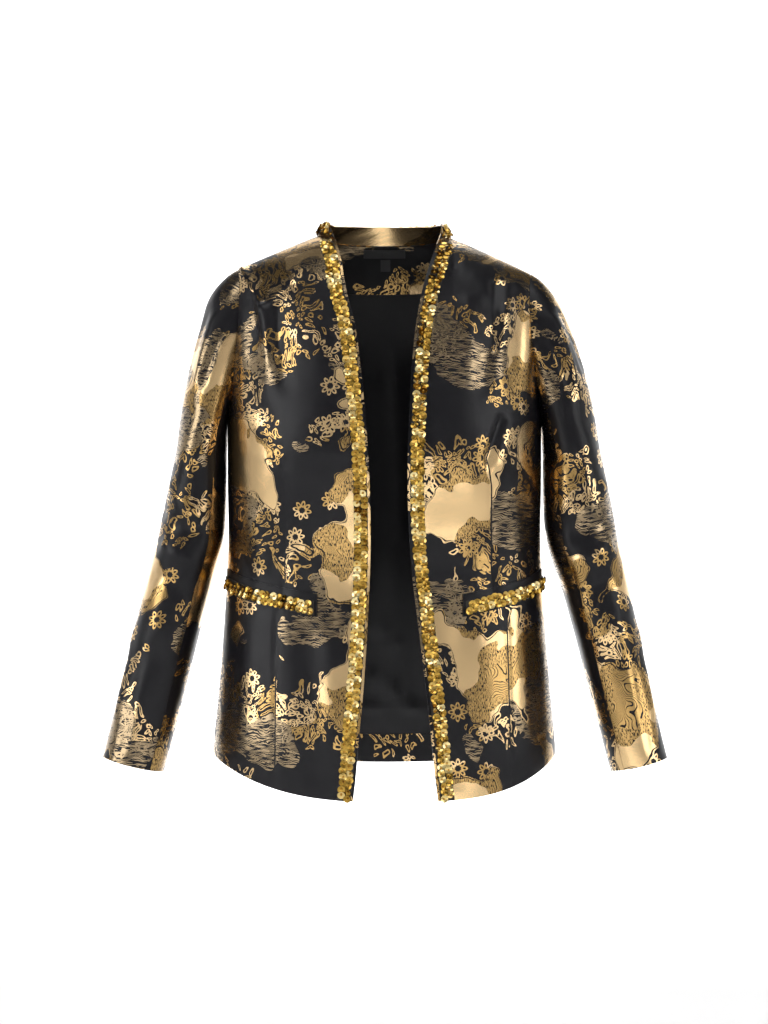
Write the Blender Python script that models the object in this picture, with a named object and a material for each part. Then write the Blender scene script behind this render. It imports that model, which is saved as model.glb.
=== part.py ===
"""An open-front jacket of black and gold brocade, filled out as if worn, with nobody in it.

Metres, +Z up. The jacket faces -Y and its own right side is at -X. The origin is the middle of the neck,
level with the neck ends of the two shoulder seams, where a wearer's shoulders carry it.

Every panel is a grid of points on one body form, given a wall on its inner side. The form is flat ovals
stacked from the hem to the bust level, and above it curls over to the shoulder ridge. What lies on a panel,
such as trim, welts, lining and facings, is made from that panel's own points, moved out or in.
"""

import bpy
import numpy as np
from mathutils.bvhtree import BVHTree

# Cloth thickness, and the gaps between pieces
PANEL_CLOTH = 0.0015
SLEEVE_CLOTH = 0.0014
COLLAR_CLOTH = 0.0020
LINING_CLOTH = 0.0010
WELT_CLOTH = 0.0014
TRIM_CLOTH = 0.0014
LABEL_CLOTH = 0.0006
SEAM_GAP = 0.0004
LAY_GAP = 0.0004
WELT_GAP = 0.0009
LABEL_GAP = 0.0005

# The body form: ovals from the hem to the bust level, with the side seams in the plane y = 0
OVAL_POWER = 2.3
BUST_LEVEL = -0.250
FRONT_CURL = 2.0
BACK_CURL = 2.5
BODY = np.array(
    [
        (-0.640, 0.1962, 0.1300, 0.1230),
        (-0.574, 0.1954, 0.1280, 0.1220),
        (-0.529, 0.1912, 0.1240, 0.1180),
        (-0.483, 0.1872, 0.1180, 0.1100),
        (-0.437, 0.1836, 0.1110, 0.1000),
        (-0.388, 0.1806, 0.1065, 0.0940),
        (-0.340, 0.1790, 0.1095, 0.0960),
        (-0.290, 0.1798, 0.1180, 0.1030),
        (-0.250, 0.1800, 0.1220, 0.1080),
    ],
    dtype=[("level", "f8"), ("half_width", "f8"), ("front_depth", "f8"), ("back_depth", "f8")],
)

# The shoulder ridge, from the middle of the neck outwards. Its first rows lie over the open neck. The jacket
# is held with its own left shoulder a little lower, which the tilt gives as a drop for each metre out.
RIDGE = np.array(
    [
        (0.000, 0.0220),
        (0.040, 0.0140),
        (0.078, 0.0004),
        (0.100, -0.0086),
        (0.128, -0.0208),
        (0.158, -0.0342),
        (0.168, -0.0390),
        (0.182, -0.0465),
    ],
    dtype=[("out", "f8"), ("level", "f8")],
)
SHOULDER_TILT = 0.015

# Hem: lowest at the middle, rising to the side seams
HEM_FRONT_LEVEL = -0.6335
HEM_BACK_LEVEL = -0.615
HEM_SIDE_LEVEL = -0.590
HEM_POWER_RIGHT = 2.7
HEM_POWER_LEFT = 3.8
HEM_POWER_BACK = 2.5

# Front edges: distance from the middle plane to the edge of the wearer's right and left front
FRONT_EDGE = np.array(
    [
        (-0.640, 0.0352, 0.0596),
        (-0.606, 0.0313, 0.0555),
        (-0.562, 0.0278, 0.0511),
        (-0.520, 0.0236, 0.0466),
        (-0.476, 0.0204, 0.0414),
        (-0.433, 0.0180, 0.0361),
        (-0.389, 0.0160, 0.0308),
        (-0.346, 0.0151, 0.0274),
        (-0.287, 0.0160, 0.0252),
        (-0.244, 0.0181, 0.0257),
        (-0.200, 0.0215, 0.0276),
        (-0.156, 0.0259, 0.0300),
        (-0.112, 0.0316, 0.0340),
        (-0.066, 0.0425, 0.0424),
        (-0.019, 0.0513, 0.0565),
        (0.012, 0.0625, 0.0690),
    ],
    dtype=[("level", "f8"), ("right", "f8"), ("left", "f8")],
)

# Grid rows, counted from 0 at the hem through 1 at the bust level to 2 at the shoulder ridge
HEM_FACING_ROW = 0.095
BODY_ROWS = [0.0, HEM_FACING_ROW, 0.20, 0.32, 0.44, 0.56, 0.67, 0.78, 0.89, 1.0]
UNDERARM_ROW = 1.11
COLLAR_ROW = 1.757
ARM_ROWS = [UNDERARM_ROW, 1.17, 1.25, 1.35, 1.46, 1.57, 1.67, COLLAR_ROW]
FRONT_NECK_ROWS = [1.772, 1.846, 1.92, 2.0]
BACK_NECK_ROWS = [1.846, 1.92, 2.0]
NECK_FACING_ROW = 1.57

# Armhole: distance from the middle plane of the panels' outer edge above the underarm
ARMHOLE = np.array(
    [
        (1.11, 0.1800),
        (1.14, 0.1783),
        (1.19, 0.1755),
        (1.26, 0.1720),
        (1.35, 0.1690),
        (1.46, 0.1665),
        (1.62, 0.1650),
        (1.82, 0.1662),
        (2.00, 0.1680),
    ],
    dtype=[("row", "f8"), ("out", "f8")],
)

# Neck
NECK_POINT_OUT = 0.078
NECK_DROP = 0.003
COLLAR_RISE = np.array(
    [
        (0.00, 0.0080, 0.0235, 0.0212),
        (0.36, -0.0155, 0.0030, 0.0162),
        (0.65, -0.0110, -0.0060, 0.0196),
        (1.00, 0.0000, -0.0070, 0.0222),
    ],
    dtype=[("share", "f8"), ("out", "f8"), ("back", "f8"), ("up", "f8")],
)
COLLAR_ROWS = [0.0, 0.18, 0.92, 1.0]

# Grid columns
TRIM_INSET = 0.003
TRIM_WIDTH = 0.0155
FRONT_COLUMNS = 9
BACK_COLUMNS_NECK = 12
BACK_COLUMNS_SIDE = 6
NECK_SHARE = 1 / 3

# Soft shapes of the fronts, each a gentle swelling or hollow: its two ends out from the middle and in
# level, its width and how far it stands out. The first row is the bust, which the long dart shapes.
FRONT_FOLDS = np.array(
    [
        (0.095, -0.235, 0.105, -0.265, 0.050, 0.0070),
        (0.166, -0.055, 0.136, -0.092, 0.012, 0.0035),
        (0.104, -0.050, 0.133, -0.092, 0.011, 0.0030),
        (0.134, -0.092, 0.128, -0.165, 0.011, 0.0035),
        (0.116, -0.085, 0.110, -0.175, 0.010, -0.0030),
        (0.150, -0.110, 0.148, -0.175, 0.010, -0.0030),
        (0.118, -0.290, 0.118, -0.400, 0.012, -0.0025),
        (0.150, -0.440, 0.158, -0.580, 0.016, 0.0030),
        (0.085, -0.450, 0.078, -0.600, 0.016, -0.0025),
    ],
    dtype=[
        ("out_1", "f8"),
        ("level_1", "f8"),
        ("out_2", "f8"),
        ("level_2", "f8"),
        ("width", "f8"),
        ("stand", "f8"),
    ],
)
BACK_FOLDS = np.array(
    [
        (0.085, -0.120, 0.090, -0.170, 0.045, 0.0050),
        (-0.085, -0.120, -0.090, -0.170, 0.045, 0.0050),
        (0.000, -0.150, 0.000, -0.560, 0.035, -0.0060),
        (0.120, -0.300, 0.105, -0.420, 0.014, -0.0030),
        (-0.120, -0.310, -0.100, -0.430, 0.014, -0.0030),
        (0.110, -0.470, 0.120, -0.590, 0.020, 0.0035),
        (-0.105, -0.480, -0.120, -0.595, 0.020, 0.0035),
    ],
    dtype=FRONT_FOLDS.dtype,
)

# Sleeves: rings square to the arm's line, from the upper arm to the cuff. The right sleeve hangs closer.
SLEEVE_POWER = 2.3
SLEEVE = np.array(
    [
        (-0.245, 0.2100, 0.0286, 0.2143, 0.0325, 0.000, 0.0600),
        (-0.275, 0.2130, 0.0315, 0.2178, 0.0358, 0.000, 0.0605),
        (-0.305, 0.2163, 0.0344, 0.2210, 0.0386, -0.001, 0.0600),
        (-0.340, 0.2208, 0.0374, 0.2254, 0.0404, -0.003, 0.0580),
        (-0.365, 0.2266, 0.0364, 0.2313, 0.0386, -0.004, 0.0562),
        (-0.392, 0.2336, 0.0363, 0.2393, 0.0372, -0.006, 0.0545),
        (-0.425, 0.2424, 0.0366, 0.2474, 0.0364, -0.009, 0.0522),
        (-0.460, 0.2510, 0.0367, 0.2560, 0.0356, -0.012, 0.0500),
        (-0.495, 0.2593, 0.0364, 0.2638, 0.0350, -0.015, 0.0480),
        (-0.532, 0.2684, 0.0364, 0.2725, 0.0340, -0.019, 0.0460),
        (-0.568, 0.2772, 0.0362, 0.2812, 0.0334, -0.022, 0.0445),
        (-0.604, 0.2862, 0.0356, 0.2900, 0.0330, -0.026, 0.0435),
    ],
    dtype=[
        ("level", "f8"),
        ("out_right", "f8"),
        ("half_width_right", "f8"),
        ("out_left", "f8"),
        ("half_width_left", "f8"),
        ("forward", "f8"),
        ("half_depth", "f8"),
    ],
)
SLEEVE_HEAD = {"right": 0.0045, "left": 0.0010}
SLEEVE_HEAD_LEVEL = -0.066
SLEEVE_HEAD_TALL = 0.026
SLEEVE_HEAD_WIDE = 60.0
CAP_SHARES = [0.0, 0.10, 0.22, 0.36, 0.52, 0.70, 0.86]
CAP_TOP_LEAD = (0.90, -0.43)
CAP_UNDER_LEAD = (0.25, -0.97)
CAP_FRONT_LEAD = 0.35
CAP_START_HANDLE = (0.024, 0.016)
CAP_END_HANDLE = (0.052, 0.045)
CAP_EASE_RINGS = 3
SLEEVE_SEAM_POINT = 8
CUFF_WAVE = 0.0015

# Broad breaks in the sleeve cloth: place along the sleeve, place round it in degrees from the outer side
# towards the front, spread along and round, and how far it stands out
SLEEVE_FOLDS = np.array(
    [
        (-0.205, 55.0, 0.018, 26.0, -0.0030),
        (-0.245, 80.0, 0.014, 40.0, 0.0030),
        (-0.330, 100.0, 0.012, 50.0, -0.0030),
        (-0.365, 75.0, 0.014, 60.0, 0.0030),
        (-0.405, 110.0, 0.013, 45.0, -0.0025),
        (-0.480, 60.0, 0.016, 50.0, -0.0022),
        (-0.350, 260.0, 0.016, 60.0, -0.0030),
        (-0.400, 250.0, 0.016, 50.0, 0.0025),
    ],
    dtype=[("level", "f8"), ("angle", "f8"), ("tall", "f8"), ("wide", "f8"), ("stand", "f8")],
)

# Pocket welts: where the inner and outer ends of the trimmed band's middle line lie
WELT_INNER_OUT = {"right": 0.0745, "left": 0.0870}
WELT_OUTER_OUT = 0.1772
WELT_INNER_LEVEL = -0.4222
WELT_OUTER_LEVEL = -0.3952
WELT_BELOW = 0.0092
WELT_ABOVE = 0.0160
POCKET_TRIM_HALF = 0.0080
WELT_COLUMNS = 14

# Neck label and size tab: their ends across and in level
LABEL_ACROSS = (-0.0248, 0.0248)
LABEL_LEVELS = (-0.0150, -0.0055)
TAB_ACROSS = (-0.0045, 0.0070)
TAB_LEVELS = (-0.0300, -0.0165)
PATCH_COLUMNS = 9
PATCH_ROWS = 3

SIDES = {"right": -1, "left": 1}

# Points well inside the trunk, the neck and behind a pocket, which tell a piece's inner side from its outer
TRUNK_MIDDLE = np.array([0.0, 0.0, -0.3])
NECK_MIDDLE = np.array([0.0, 0.0, 0.0])
BEHIND_POCKET = np.array([0.0, 0.3, -0.42])
BEFORE_NECK = np.array([0.0, -0.3, -0.2])

# Rounds of correction that find where an edge meets a level
EDGE_ROUNDS = 12


def through(xs, ys, at):
    """A smooth curve through the table's points: cubic steps, with slopes taken from the neighbouring points."""
    slopes = np.gradient(ys, xs)
    at = np.clip(at, xs[0], xs[-1])
    i = np.clip(np.searchsorted(xs, at, side="right") - 1, 0, len(xs) - 2)
    step = xs[i + 1] - xs[i]
    t = (at - xs[i]) / step
    start = ys[i] * (1 + 2 * t) * (1 - t) ** 2 + step * slopes[i] * t * (1 - t) ** 2
    end = ys[i + 1] * t**2 * (3 - 2 * t) + step * slopes[i + 1] * t**2 * (t - 1)
    return start + end


def body(column, level):
    """One column of the body table at these levels. Above the bust level it keeps its last value."""
    return through(BODY["level"], BODY[column], np.minimum(level, BUST_LEVEL))


def ridge(x):
    """Level of the shoulder ridge above the point x."""
    return through(RIDGE["out"], RIDGE["level"], np.abs(x)) - SHOULDER_TILT * x


def swelling(folds, out, level):
    """Sum of the soft folds at a point: each falls off as a bell curve with the distance from its line."""
    total = np.zeros(np.broadcast(out, level).shape)
    for fold in folds:
        run = np.array([fold["out_2"] - fold["out_1"], fold["level_2"] - fold["level_1"]])
        share = ((out - fold["out_1"]) * run[0] + (level - fold["level_1"]) * run[1]) / (run @ run)
        share = np.clip(share, 0, 1)
        aside = out - fold["out_1"] - share * run[0]
        along = level - fold["level_1"] - share * run[1]
        total = total + fold["stand"] * np.exp(-(aside**2 + along**2) / fold["width"] ** 2)
    return total


def body_y(x, level, face):
    """The body form's y at (x, level): an oval across, which above the bust level curls back to y = 0 at the
    ridge. The face is "front" or "back"."""
    across = np.clip(np.abs(x) / body("half_width", level), 0, 1)
    across = (1 - across**OVAL_POWER) ** (1 / OVAL_POWER)
    rise = np.clip((level - BUST_LEVEL) / (ridge(x) - BUST_LEVEL), 0, 1)
    curl = FRONT_CURL if face == "front" else BACK_CURL
    up = (1 - rise**curl) ** (1 / curl)
    if face == "front":
        return -(body("front_depth", level) + swelling(FRONT_FOLDS, np.abs(x), level)) * across * up
    return (body("back_depth", level) + swelling(BACK_FOLDS, x, level)) * across * up


def hem(x, face):
    """Level of the hem: flat at the middle and rising to the sides."""
    middle = HEM_FRONT_LEVEL if face == "front" else HEM_BACK_LEVEL
    power = np.where(x < 0, HEM_POWER_RIGHT, HEM_POWER_LEFT) if face == "front" else HEM_POWER_BACK
    share = np.clip(np.abs(x) / BODY["half_width"][0], 0, 1)
    return middle + (HEM_SIDE_LEVEL - middle) * share**power


def back_neck(x):
    """Level of the back's top edge: the neck curve between the neck points, and the ridge outside them."""
    share = np.clip(np.abs(x) / NECK_POINT_OUT, 0, 1)
    return np.minimum(ridge(x), -NECK_DROP * (1 - share**2))


def row_level(x, row, face):
    """Level of a grid row at x: evenly from the hem to the bust level, then closing up as a sine to the top."""
    low = hem(x, face)
    top = ridge(x) if face == "front" else back_neck(x)
    below = low + (BUST_LEVEL - low) * np.clip(row, 0, 1)
    above = BUST_LEVEL + (top - BUST_LEVEL) * np.sin(np.clip(row - 1, 0, 1) * np.pi / 2)
    return np.where(row <= 1, below, above)


def outer_reach(rows, face, side):
    """Distance out of a panel's outer edge: the side seam, then the armhole above the underarm."""
    seam = np.full(len(rows), BODY["half_width"][-1])
    for _ in range(EDGE_ROUNDS):
        seam = body("half_width", row_level(SIDES[side] * seam, rows, face))
    return np.where(rows > UNDERARM_ROW, through(ARMHOLE["row"], ARMHOLE["out"], rows), seam)


def front_reach(rows, side):
    """Distance out of a front's inner edge: the front edge, then the neck seam above the collar's end."""
    edge_rows = np.minimum(rows, COLLAR_ROW)
    edge = np.full(len(rows), FRONT_EDGE[side][-1])
    for _ in range(EDGE_ROUNDS):
        level = row_level(SIDES[side] * edge, edge_rows, "front")
        edge = through(FRONT_EDGE["level"], FRONT_EDGE[side], level)
    share = np.clip((rows - COLLAR_ROW) / (2 - COLLAR_ROW), 0, 1)
    return edge + (NECK_POINT_OUT - edge) * np.sin(share * np.pi / 2)


def oval_angle(x, half_width):
    """The angle on the oval that stands at the distance x."""
    return np.arcsin(np.clip(x / half_width, 0, 1) ** (OVAL_POWER / 2))


def oval_out(angle, half_width):
    """The distance x that stands at this angle on the oval."""
    return half_width * np.sin(angle) ** (2 / OVAL_POWER)


def front_grid(side):
    """Points of a front panel, rows from the hem up and columns from the front edge out. The first three columns
    bound the trim, and the rest are at even angles of the oval."""
    rows = np.array(BODY_ROWS + ARM_ROWS + FRONT_NECK_ROWS)
    inner = front_reach(rows, side)
    outer = outer_reach(rows, "front", side)
    width = body("half_width", row_level(SIDES[side] * inner, rows, "front"))
    start = inner + TRIM_INSET + TRIM_WIDTH
    shares = np.linspace(0, 1, FRONT_COLUMNS + 1)
    angles = oval_angle(start, width)[:, None]
    angles = angles + (oval_angle(outer, width)[:, None] - angles) * shares
    out = oval_out(angles, width[:, None])
    out[:, -1] = outer
    out = np.concatenate([inner[:, None], inner[:, None] + TRIM_INSET, out], axis=1)
    x = SIDES[side] * out
    level = row_level(x, rows[:, None], "front")
    return np.stack([x, body_y(x, level, "front"), level], axis=-1), rows


def back_grid():
    """Points of the back, rows from the hem up and columns from the wearer's right to left. A column passes
    through each neck point, so the columns between them are closer."""
    rows = np.array(BODY_ROWS + ARM_ROWS + BACK_NECK_ROWS)
    outer = outer_reach(rows, "back", "left")
    width = body("half_width", row_level(outer, rows, "back"))
    neck = np.linspace(-NECK_SHARE, NECK_SHARE, BACK_COLUMNS_NECK + 1)
    side = np.linspace(NECK_SHARE, 1, BACK_COLUMNS_SIDE + 1)[1:]
    shares = np.concatenate([-side[::-1], neck, side])
    angles = oval_angle(outer, width)[:, None] * np.abs(shares)
    x = np.sign(shares) * oval_out(angles, width[:, None])
    x[:, 0] = -outer
    x[:, -1] = outer
    level = row_level(x, rows[:, None], "back")
    return np.stack([x, body_y(x, level, "back"), level], axis=-1), rows


def grid_normals(points, centre, wrap=False):
    """Unit normals of a grid, pointing away from the centre. A wrapped grid's last column meets its first."""
    if wrap:
        across = np.roll(points, -1, axis=1) - np.roll(points, 1, axis=1)
    else:
        across = np.gradient(points, axis=1)
    normals = np.cross(across, np.gradient(points, axis=0))
    normals /= np.linalg.norm(normals, axis=-1, keepdims=True)
    return normals * np.sign(np.sum(normals * (points - centre)))


def drawn_in(points, gap):
    """The grid with each of its four edges moved in by half the gap, along the grid's own lines."""
    points = points.copy()
    for axis in (0, 1):
        lines = np.moveaxis(points, axis, 0)
        for edge, inside in ((0, 1), (-1, -2)):
            run = lines[inside] - lines[edge]
            lines[edge] += run * (gap / 2 / np.linalg.norm(run, axis=-1, keepdims=True))
    return points


def kept_to(points, face):
    """The points kept on their own side of the plane of the side and shoulder seams."""
    points = points.copy()
    limit = SEAM_GAP / 2
    if face == "front":
        points[..., 1] = np.minimum(points[..., 1], -limit)
    else:
        points[..., 1] = np.maximum(points[..., 1], limit)
    return points


def finish(name, colour, roughness, metallic=0.0):
    """A plain material: its colour as red, green and blue, with its roughness and metallic value."""
    material = bpy.data.materials.new(name)
    material.use_nodes = True
    shader = material.node_tree.nodes["Principled BSDF"]
    shader.inputs["Base Color"].default_value = (*colour, 1.0)
    shader.inputs["Roughness"].default_value = roughness
    shader.inputs["Metallic"].default_value = metallic
    material.diffuse_color = (*colour, 1.0)
    return material


def brocade(name):
    """Black satin brocade with gold, as one mean colour."""
    return finish(name, (0.13, 0.10, 0.055), 0.45, 0.2)


def satin(name):
    """Black lining satin."""
    return finish(name, (0.012, 0.012, 0.014), 0.4)


def gold_tape(name):
    """Tape covered with gold sequins."""
    return finish(name, (0.62, 0.42, 0.10), 0.3, 1.0)


def wall(name, top, under, material):
    """A closed sheet between two grids of points: its two faces and a rim round the four edges."""
    rows, columns = top.shape[:2]
    size = rows * columns
    index = np.arange(size).reshape(rows, columns)
    corner = [index[:-1, :-1], index[:-1, 1:], index[1:, 1:], index[1:, :-1]]
    quads = np.stack([c.ravel() for c in corner], axis=1)
    border = np.concatenate([index[0, :-1], index[:-1, -1], index[-1, :0:-1], index[:0:-1, 0]])
    after = np.roll(border, -1)
    rim = np.stack([border, border + size, after + size, after], axis=1)
    quads = np.concatenate([quads, quads[:, [0, 3, 2, 1]] + size, rim])
    faces = np.concatenate([quads[:, [0, 1, 2]], quads[:, [0, 2, 3]]])
    points = np.concatenate([top.reshape(-1, 3), under.reshape(-1, 3)])
    a, b, c = (points[faces[:, k]] for k in range(3))
    if np.sum(a * np.cross(b, c)) < 0:
        faces = faces[:, ::-1]
    mesh = bpy.data.meshes.new(name)
    mesh.from_pydata(points.tolist(), [], faces.tolist())
    mesh.materials.append(material)
    mesh.shade_smooth()
    mesh.set_sharp_from_angle(angle=np.radians(50))
    piece = bpy.data.objects.new(name, mesh)
    bpy.context.scene.collection.objects.link(piece)
    return piece


def panel(name, points, normals, face, material):
    """A body panel: its points and a wall inside them, both kept on their own side of the seams."""
    outer = kept_to(drawn_in(points, SEAM_GAP), face)
    inner = kept_to(outer - normals * PANEL_CLOTH, face)
    return wall(name, outer, inner, material)


def laid_out(name, points, normals, gap, cloth, material):
    """A piece that lies on a panel's points, on their outer side."""
    base = points + normals * gap
    return wall(name, base + normals * cloth, base, material)


def laid_in(name, points, normals, start, cloth, face, material):
    """A piece that lies inside a panel, its outer face at the distance start from the panel's points."""
    outer = kept_to(points - normals * start, face)
    inner = kept_to(points - normals * (start + cloth), face)
    return wall(name, outer, inner, material)


def collar_points(base):
    """The collar's grid: the neck seam's points, each raised by the collar's lean at that place. The share runs
    from a front end, 0, to the middle of the back, 1."""
    steps = np.linalg.norm(np.diff(base, axis=0), axis=1)
    run = np.concatenate([[0], np.cumsum(steps)])
    middle = run[-1] / 2
    share = 1 - np.abs(run - middle) / middle
    out = through(COLLAR_RISE["share"], COLLAR_RISE["out"], share) * np.sign(run - middle)
    back = through(COLLAR_RISE["share"], COLLAR_RISE["back"], share)
    up = through(COLLAR_RISE["share"], COLLAR_RISE["up"], share)
    rise = np.stack([out, back, up], axis=1)
    return base + np.array(COLLAR_ROWS)[:, None, None] * rise


def sleeve_folds(level, angle, side):
    """Sum of the sleeve's broad breaks at a level and an angle round the sleeve, with the round of its head."""
    head = (SLEEVE_HEAD_LEVEL, 0.0, SLEEVE_HEAD_TALL, SLEEVE_HEAD_WIDE, SLEEVE_HEAD[side])
    total = np.zeros(np.broadcast(level, angle).shape)
    for row_level_at, row_angle, tall, wide, stand in [head, *SLEEVE_FOLDS.tolist()]:
        turn = (np.degrees(angle) - row_angle + 180) % 360 - 180
        total = total + stand * np.exp(-(((level - row_level_at) / tall) ** 2) - (turn / wide) ** 2)
    return total


def sleeve_grid(armhole, side):
    """A sleeve's rings on the jacket's left side. Each has a point for each armhole point, starting at the
    shoulder and running down the front. The cap runs from the armhole to the upper arm on one cubic curve for
    each point, which leaves the armhole outwards and arrives along the arm. Below it the rings are ovals
    square to the arm's line."""
    half = len(armhole) // 2
    closed = np.concatenate([armhole, armhole[:1]])
    run = np.concatenate([[0], np.cumsum(np.linalg.norm(np.diff(closed, axis=0), axis=1))])
    front = run[: half + 1] / run[half] * np.pi
    back = np.pi + (run[half:-1] - run[half]) / (run[-1] - run[half]) * np.pi
    angle = np.concatenate([front, back[1:]])

    centre = np.stack([SLEEVE[f"out_{side}"], SLEEVE["forward"], SLEEVE["level"]], axis=1)
    axis = np.gradient(centre, axis=0)
    axis /= np.linalg.norm(axis, axis=1, keepdims=True)
    aside = np.stack([-axis[:, 2], np.zeros(len(axis)), axis[:, 0]], axis=1)
    aside /= np.linalg.norm(aside, axis=1, keepdims=True)
    forward = np.cross(aside, axis)
    forward *= -np.sign(forward[:, 1:2])
    round_out = np.sign(np.cos(angle)) * np.abs(np.cos(angle)) ** (2 / SLEEVE_POWER)
    round_fore = np.sign(np.sin(angle)) * np.abs(np.sin(angle)) ** (2 / SLEEVE_POWER)
    rings = (
        centre[:, None]
        + (SLEEVE[f"half_width_{side}"][:, None] * round_out)[..., None] * aside[:, None]
        + (SLEEVE["half_depth"][:, None] * round_fore)[..., None] * forward[:, None]
    )
    rings[-1, :, 2] += CUFF_WAVE * np.cos(2 * angle)

    top_lead = np.array([CAP_TOP_LEAD[0], 0, CAP_TOP_LEAD[1]])
    under_lead = np.array([CAP_UNDER_LEAD[0], 0, CAP_UNDER_LEAD[1]])
    upper = (1 + np.cos(angle))[:, None] / 2
    lead = top_lead * upper + under_lead * (1 - upper)
    lead[:, 1] -= CAP_FRONT_LEAD * np.sin(angle)
    lead /= np.linalg.norm(lead, axis=1, keepdims=True)
    start = armhole + lead * SEAM_GAP
    first = start + lead * (CAP_START_HANDLE[0] + CAP_START_HANDLE[1] * np.cos(angle))[:, None]
    last = rings[0] - axis[0] * (CAP_END_HANDLE[0] + CAP_END_HANDLE[1] * np.cos(angle))[:, None]
    t = np.array(CAP_SHARES)[:, None, None]
    cap = start * (1 - t) ** 3 + 3 * first * t * (1 - t) ** 2 + 3 * last * t**2 * (1 - t) + rings[0] * t**3
    points = np.concatenate([cap, rings])

    middles = np.mean(points, axis=1, keepdims=True)
    normals = grid_normals(points, middles, wrap=True)
    ease = np.clip(np.arange(len(points)) / CAP_EASE_RINGS, 0, 1)[:, None]
    bulge = sleeve_folds(points[..., 2], angle, side) * ease
    return points + normals * bulge[..., None], normals


def mirrored(points):
    """The same points on the other side of the middle plane."""
    return points * np.array([-1.0, 1.0, 1.0])


def build_sleeve(side, points, normals):
    """A sleeve of two pieces. The under sleeve lies towards the body, between the seams under the front and the
    back of the arm, and the top sleeve is the rest."""
    count = points.shape[1]
    if side == "right":
        points, normals = mirrored(points), mirrored(normals)
    seam = SLEEVE_SEAM_POINT
    under = np.arange(seam, count - seam + 1)
    upper = np.arange(count - seam, count + seam + 1) % count
    for name, columns in (("top_sleeve", upper), ("under_sleeve", under)):
        outer = points[:, columns].copy()
        run = outer[:, [1, -2]] - outer[:, [0, -1]]
        run /= np.linalg.norm(run, axis=-1, keepdims=True)
        outer[:, [0, -1]] += run * SEAM_GAP / 2
        inner = outer - normals[:, columns] * SLEEVE_CLOTH
        wall(f"{name}_{side}", outer, inner, brocade(f"{name}_{side}_brocade"))


def on_panel(points, x, z):
    """The places on a panel's faces that stand straight in line with these x and z, along y."""
    rows, columns = points.shape[:2]
    index = np.arange(rows * columns).reshape(rows, columns)
    corner = [index[:-1, :-1], index[:-1, 1:], index[1:, 1:], index[1:, :-1]]
    a, b, c, d = (part.ravel() for part in corner)
    faces = np.concatenate([np.stack([a, b, c], axis=1), np.stack([a, c, d], axis=1)])
    tree = BVHTree.FromPolygons(points.reshape(-1, 3).tolist(), faces.tolist())
    side = np.sign(np.mean(points[..., 1]))
    found = [tree.ray_cast((px, side, pz), (0, -side, 0))[0] for px, pz in zip(x.ravel(), z.ravel())]
    return np.array(found).reshape(*x.shape, 3)


def welt_grid(side, panel_points):
    """A welt's points on its front: a slanting strip whose columns are at even angles of the oval. Its rows are
    its lower edge, the two edges of its trim, and its upper edge."""
    level = np.array([WELT_INNER_LEVEL, WELT_OUTER_LEVEL])
    width = body("half_width", level)
    reach = np.array([WELT_INNER_OUT[side], WELT_OUTER_OUT])
    angle = np.linspace(*oval_angle(reach, width), WELT_COLUMNS + 1)
    share = np.linspace(0, 1, WELT_COLUMNS + 1)
    out = oval_out(angle, width[0] + (width[1] - width[0]) * share)
    middle = level[0] + (level[1] - level[0]) * share
    z = middle + np.array([-WELT_BELOW, -POCKET_TRIM_HALF, POCKET_TRIM_HALF, WELT_ABOVE])[:, None]
    x = SIDES[side] * np.broadcast_to(out, z.shape)
    points = on_panel(panel_points, x, z)
    return points, grid_normals(points, BEHIND_POCKET)


def back_patch(name, across, levels, panel_points, start, material):
    """A small flat piece inside the back neck, between two distances across and two levels."""
    x, z = np.meshgrid(np.linspace(*across, PATCH_COLUMNS), np.linspace(*levels, PATCH_ROWS))
    points = on_panel(panel_points, x, z)
    normals = grid_normals(points, BEFORE_NECK)
    return laid_in(name, points, normals, start, LABEL_CLOTH, "back", material)


for item in list(bpy.data.objects):
    bpy.data.objects.remove(item, do_unlink=True)

# Fronts with their edge trim, and the points that the collar and the sleeves share with them
front_points = {}
neck_seam = {}
armhole_front = {}
for side in SIDES:
    points, rows = front_grid(side)
    front_points[side] = points
    normals = grid_normals(points, TRUNK_MIDDLE)
    panel(f"front_{side}", points, normals, "front", brocade(f"front_{side}_brocade"))
    collar_row = int(np.argmin(np.abs(rows - COLLAR_ROW)))
    neck_seam[side] = points[collar_row:, 0]
    armhole_front[side] = np.delete(points[len(BODY_ROWS) :, -1], len(ARM_ROWS), axis=0)
    strip = slice(0, collar_row + 1), slice(1, 3)
    trim = points[strip]
    trim_normals = normals[strip]
    trim = drawn_in(trim, SEAM_GAP)
    laid_out(f"trim_front_{side}", trim, trim_normals, LAY_GAP, TRIM_CLOTH, gold_tape(f"trim_front_{side}_tape"))

# Back, with the lining, the neck facing and the hem facing inside it
points, rows = back_grid()
normals = grid_normals(points, TRUNK_MIDDLE)
panel("back", points, normals, "back", brocade("back_brocade"))
back_points = points
armhole_back = {"right": points[len(BODY_ROWS) :, 0], "left": points[len(BODY_ROWS) :, -1]}
neck_columns = slice(BACK_COLUMNS_SIDE, BACK_COLUMNS_SIDE + BACK_COLUMNS_NECK + 1)
back_neck_seam = points[-1, neck_columns]
facing_start = PANEL_CLOTH + LAY_GAP
hem_row = int(np.argmin(np.abs(rows - HEM_FACING_ROW)))
neck_row = int(np.argmin(np.abs(rows - NECK_FACING_ROW)))
inside = (
    ("hem_facing", slice(0, hem_row + 1), brocade),
    ("back_lining", slice(hem_row, neck_row + 1), satin),
    ("neck_facing", slice(neck_row, len(rows)), brocade),
)
for name, span, cloth_of in inside:
    piece = drawn_in(points[span], 2 * SEAM_GAP)
    laid_in(name, piece, normals[span], facing_start, LINING_CLOTH, "back", cloth_of(f"{name}_cloth"))

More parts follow.
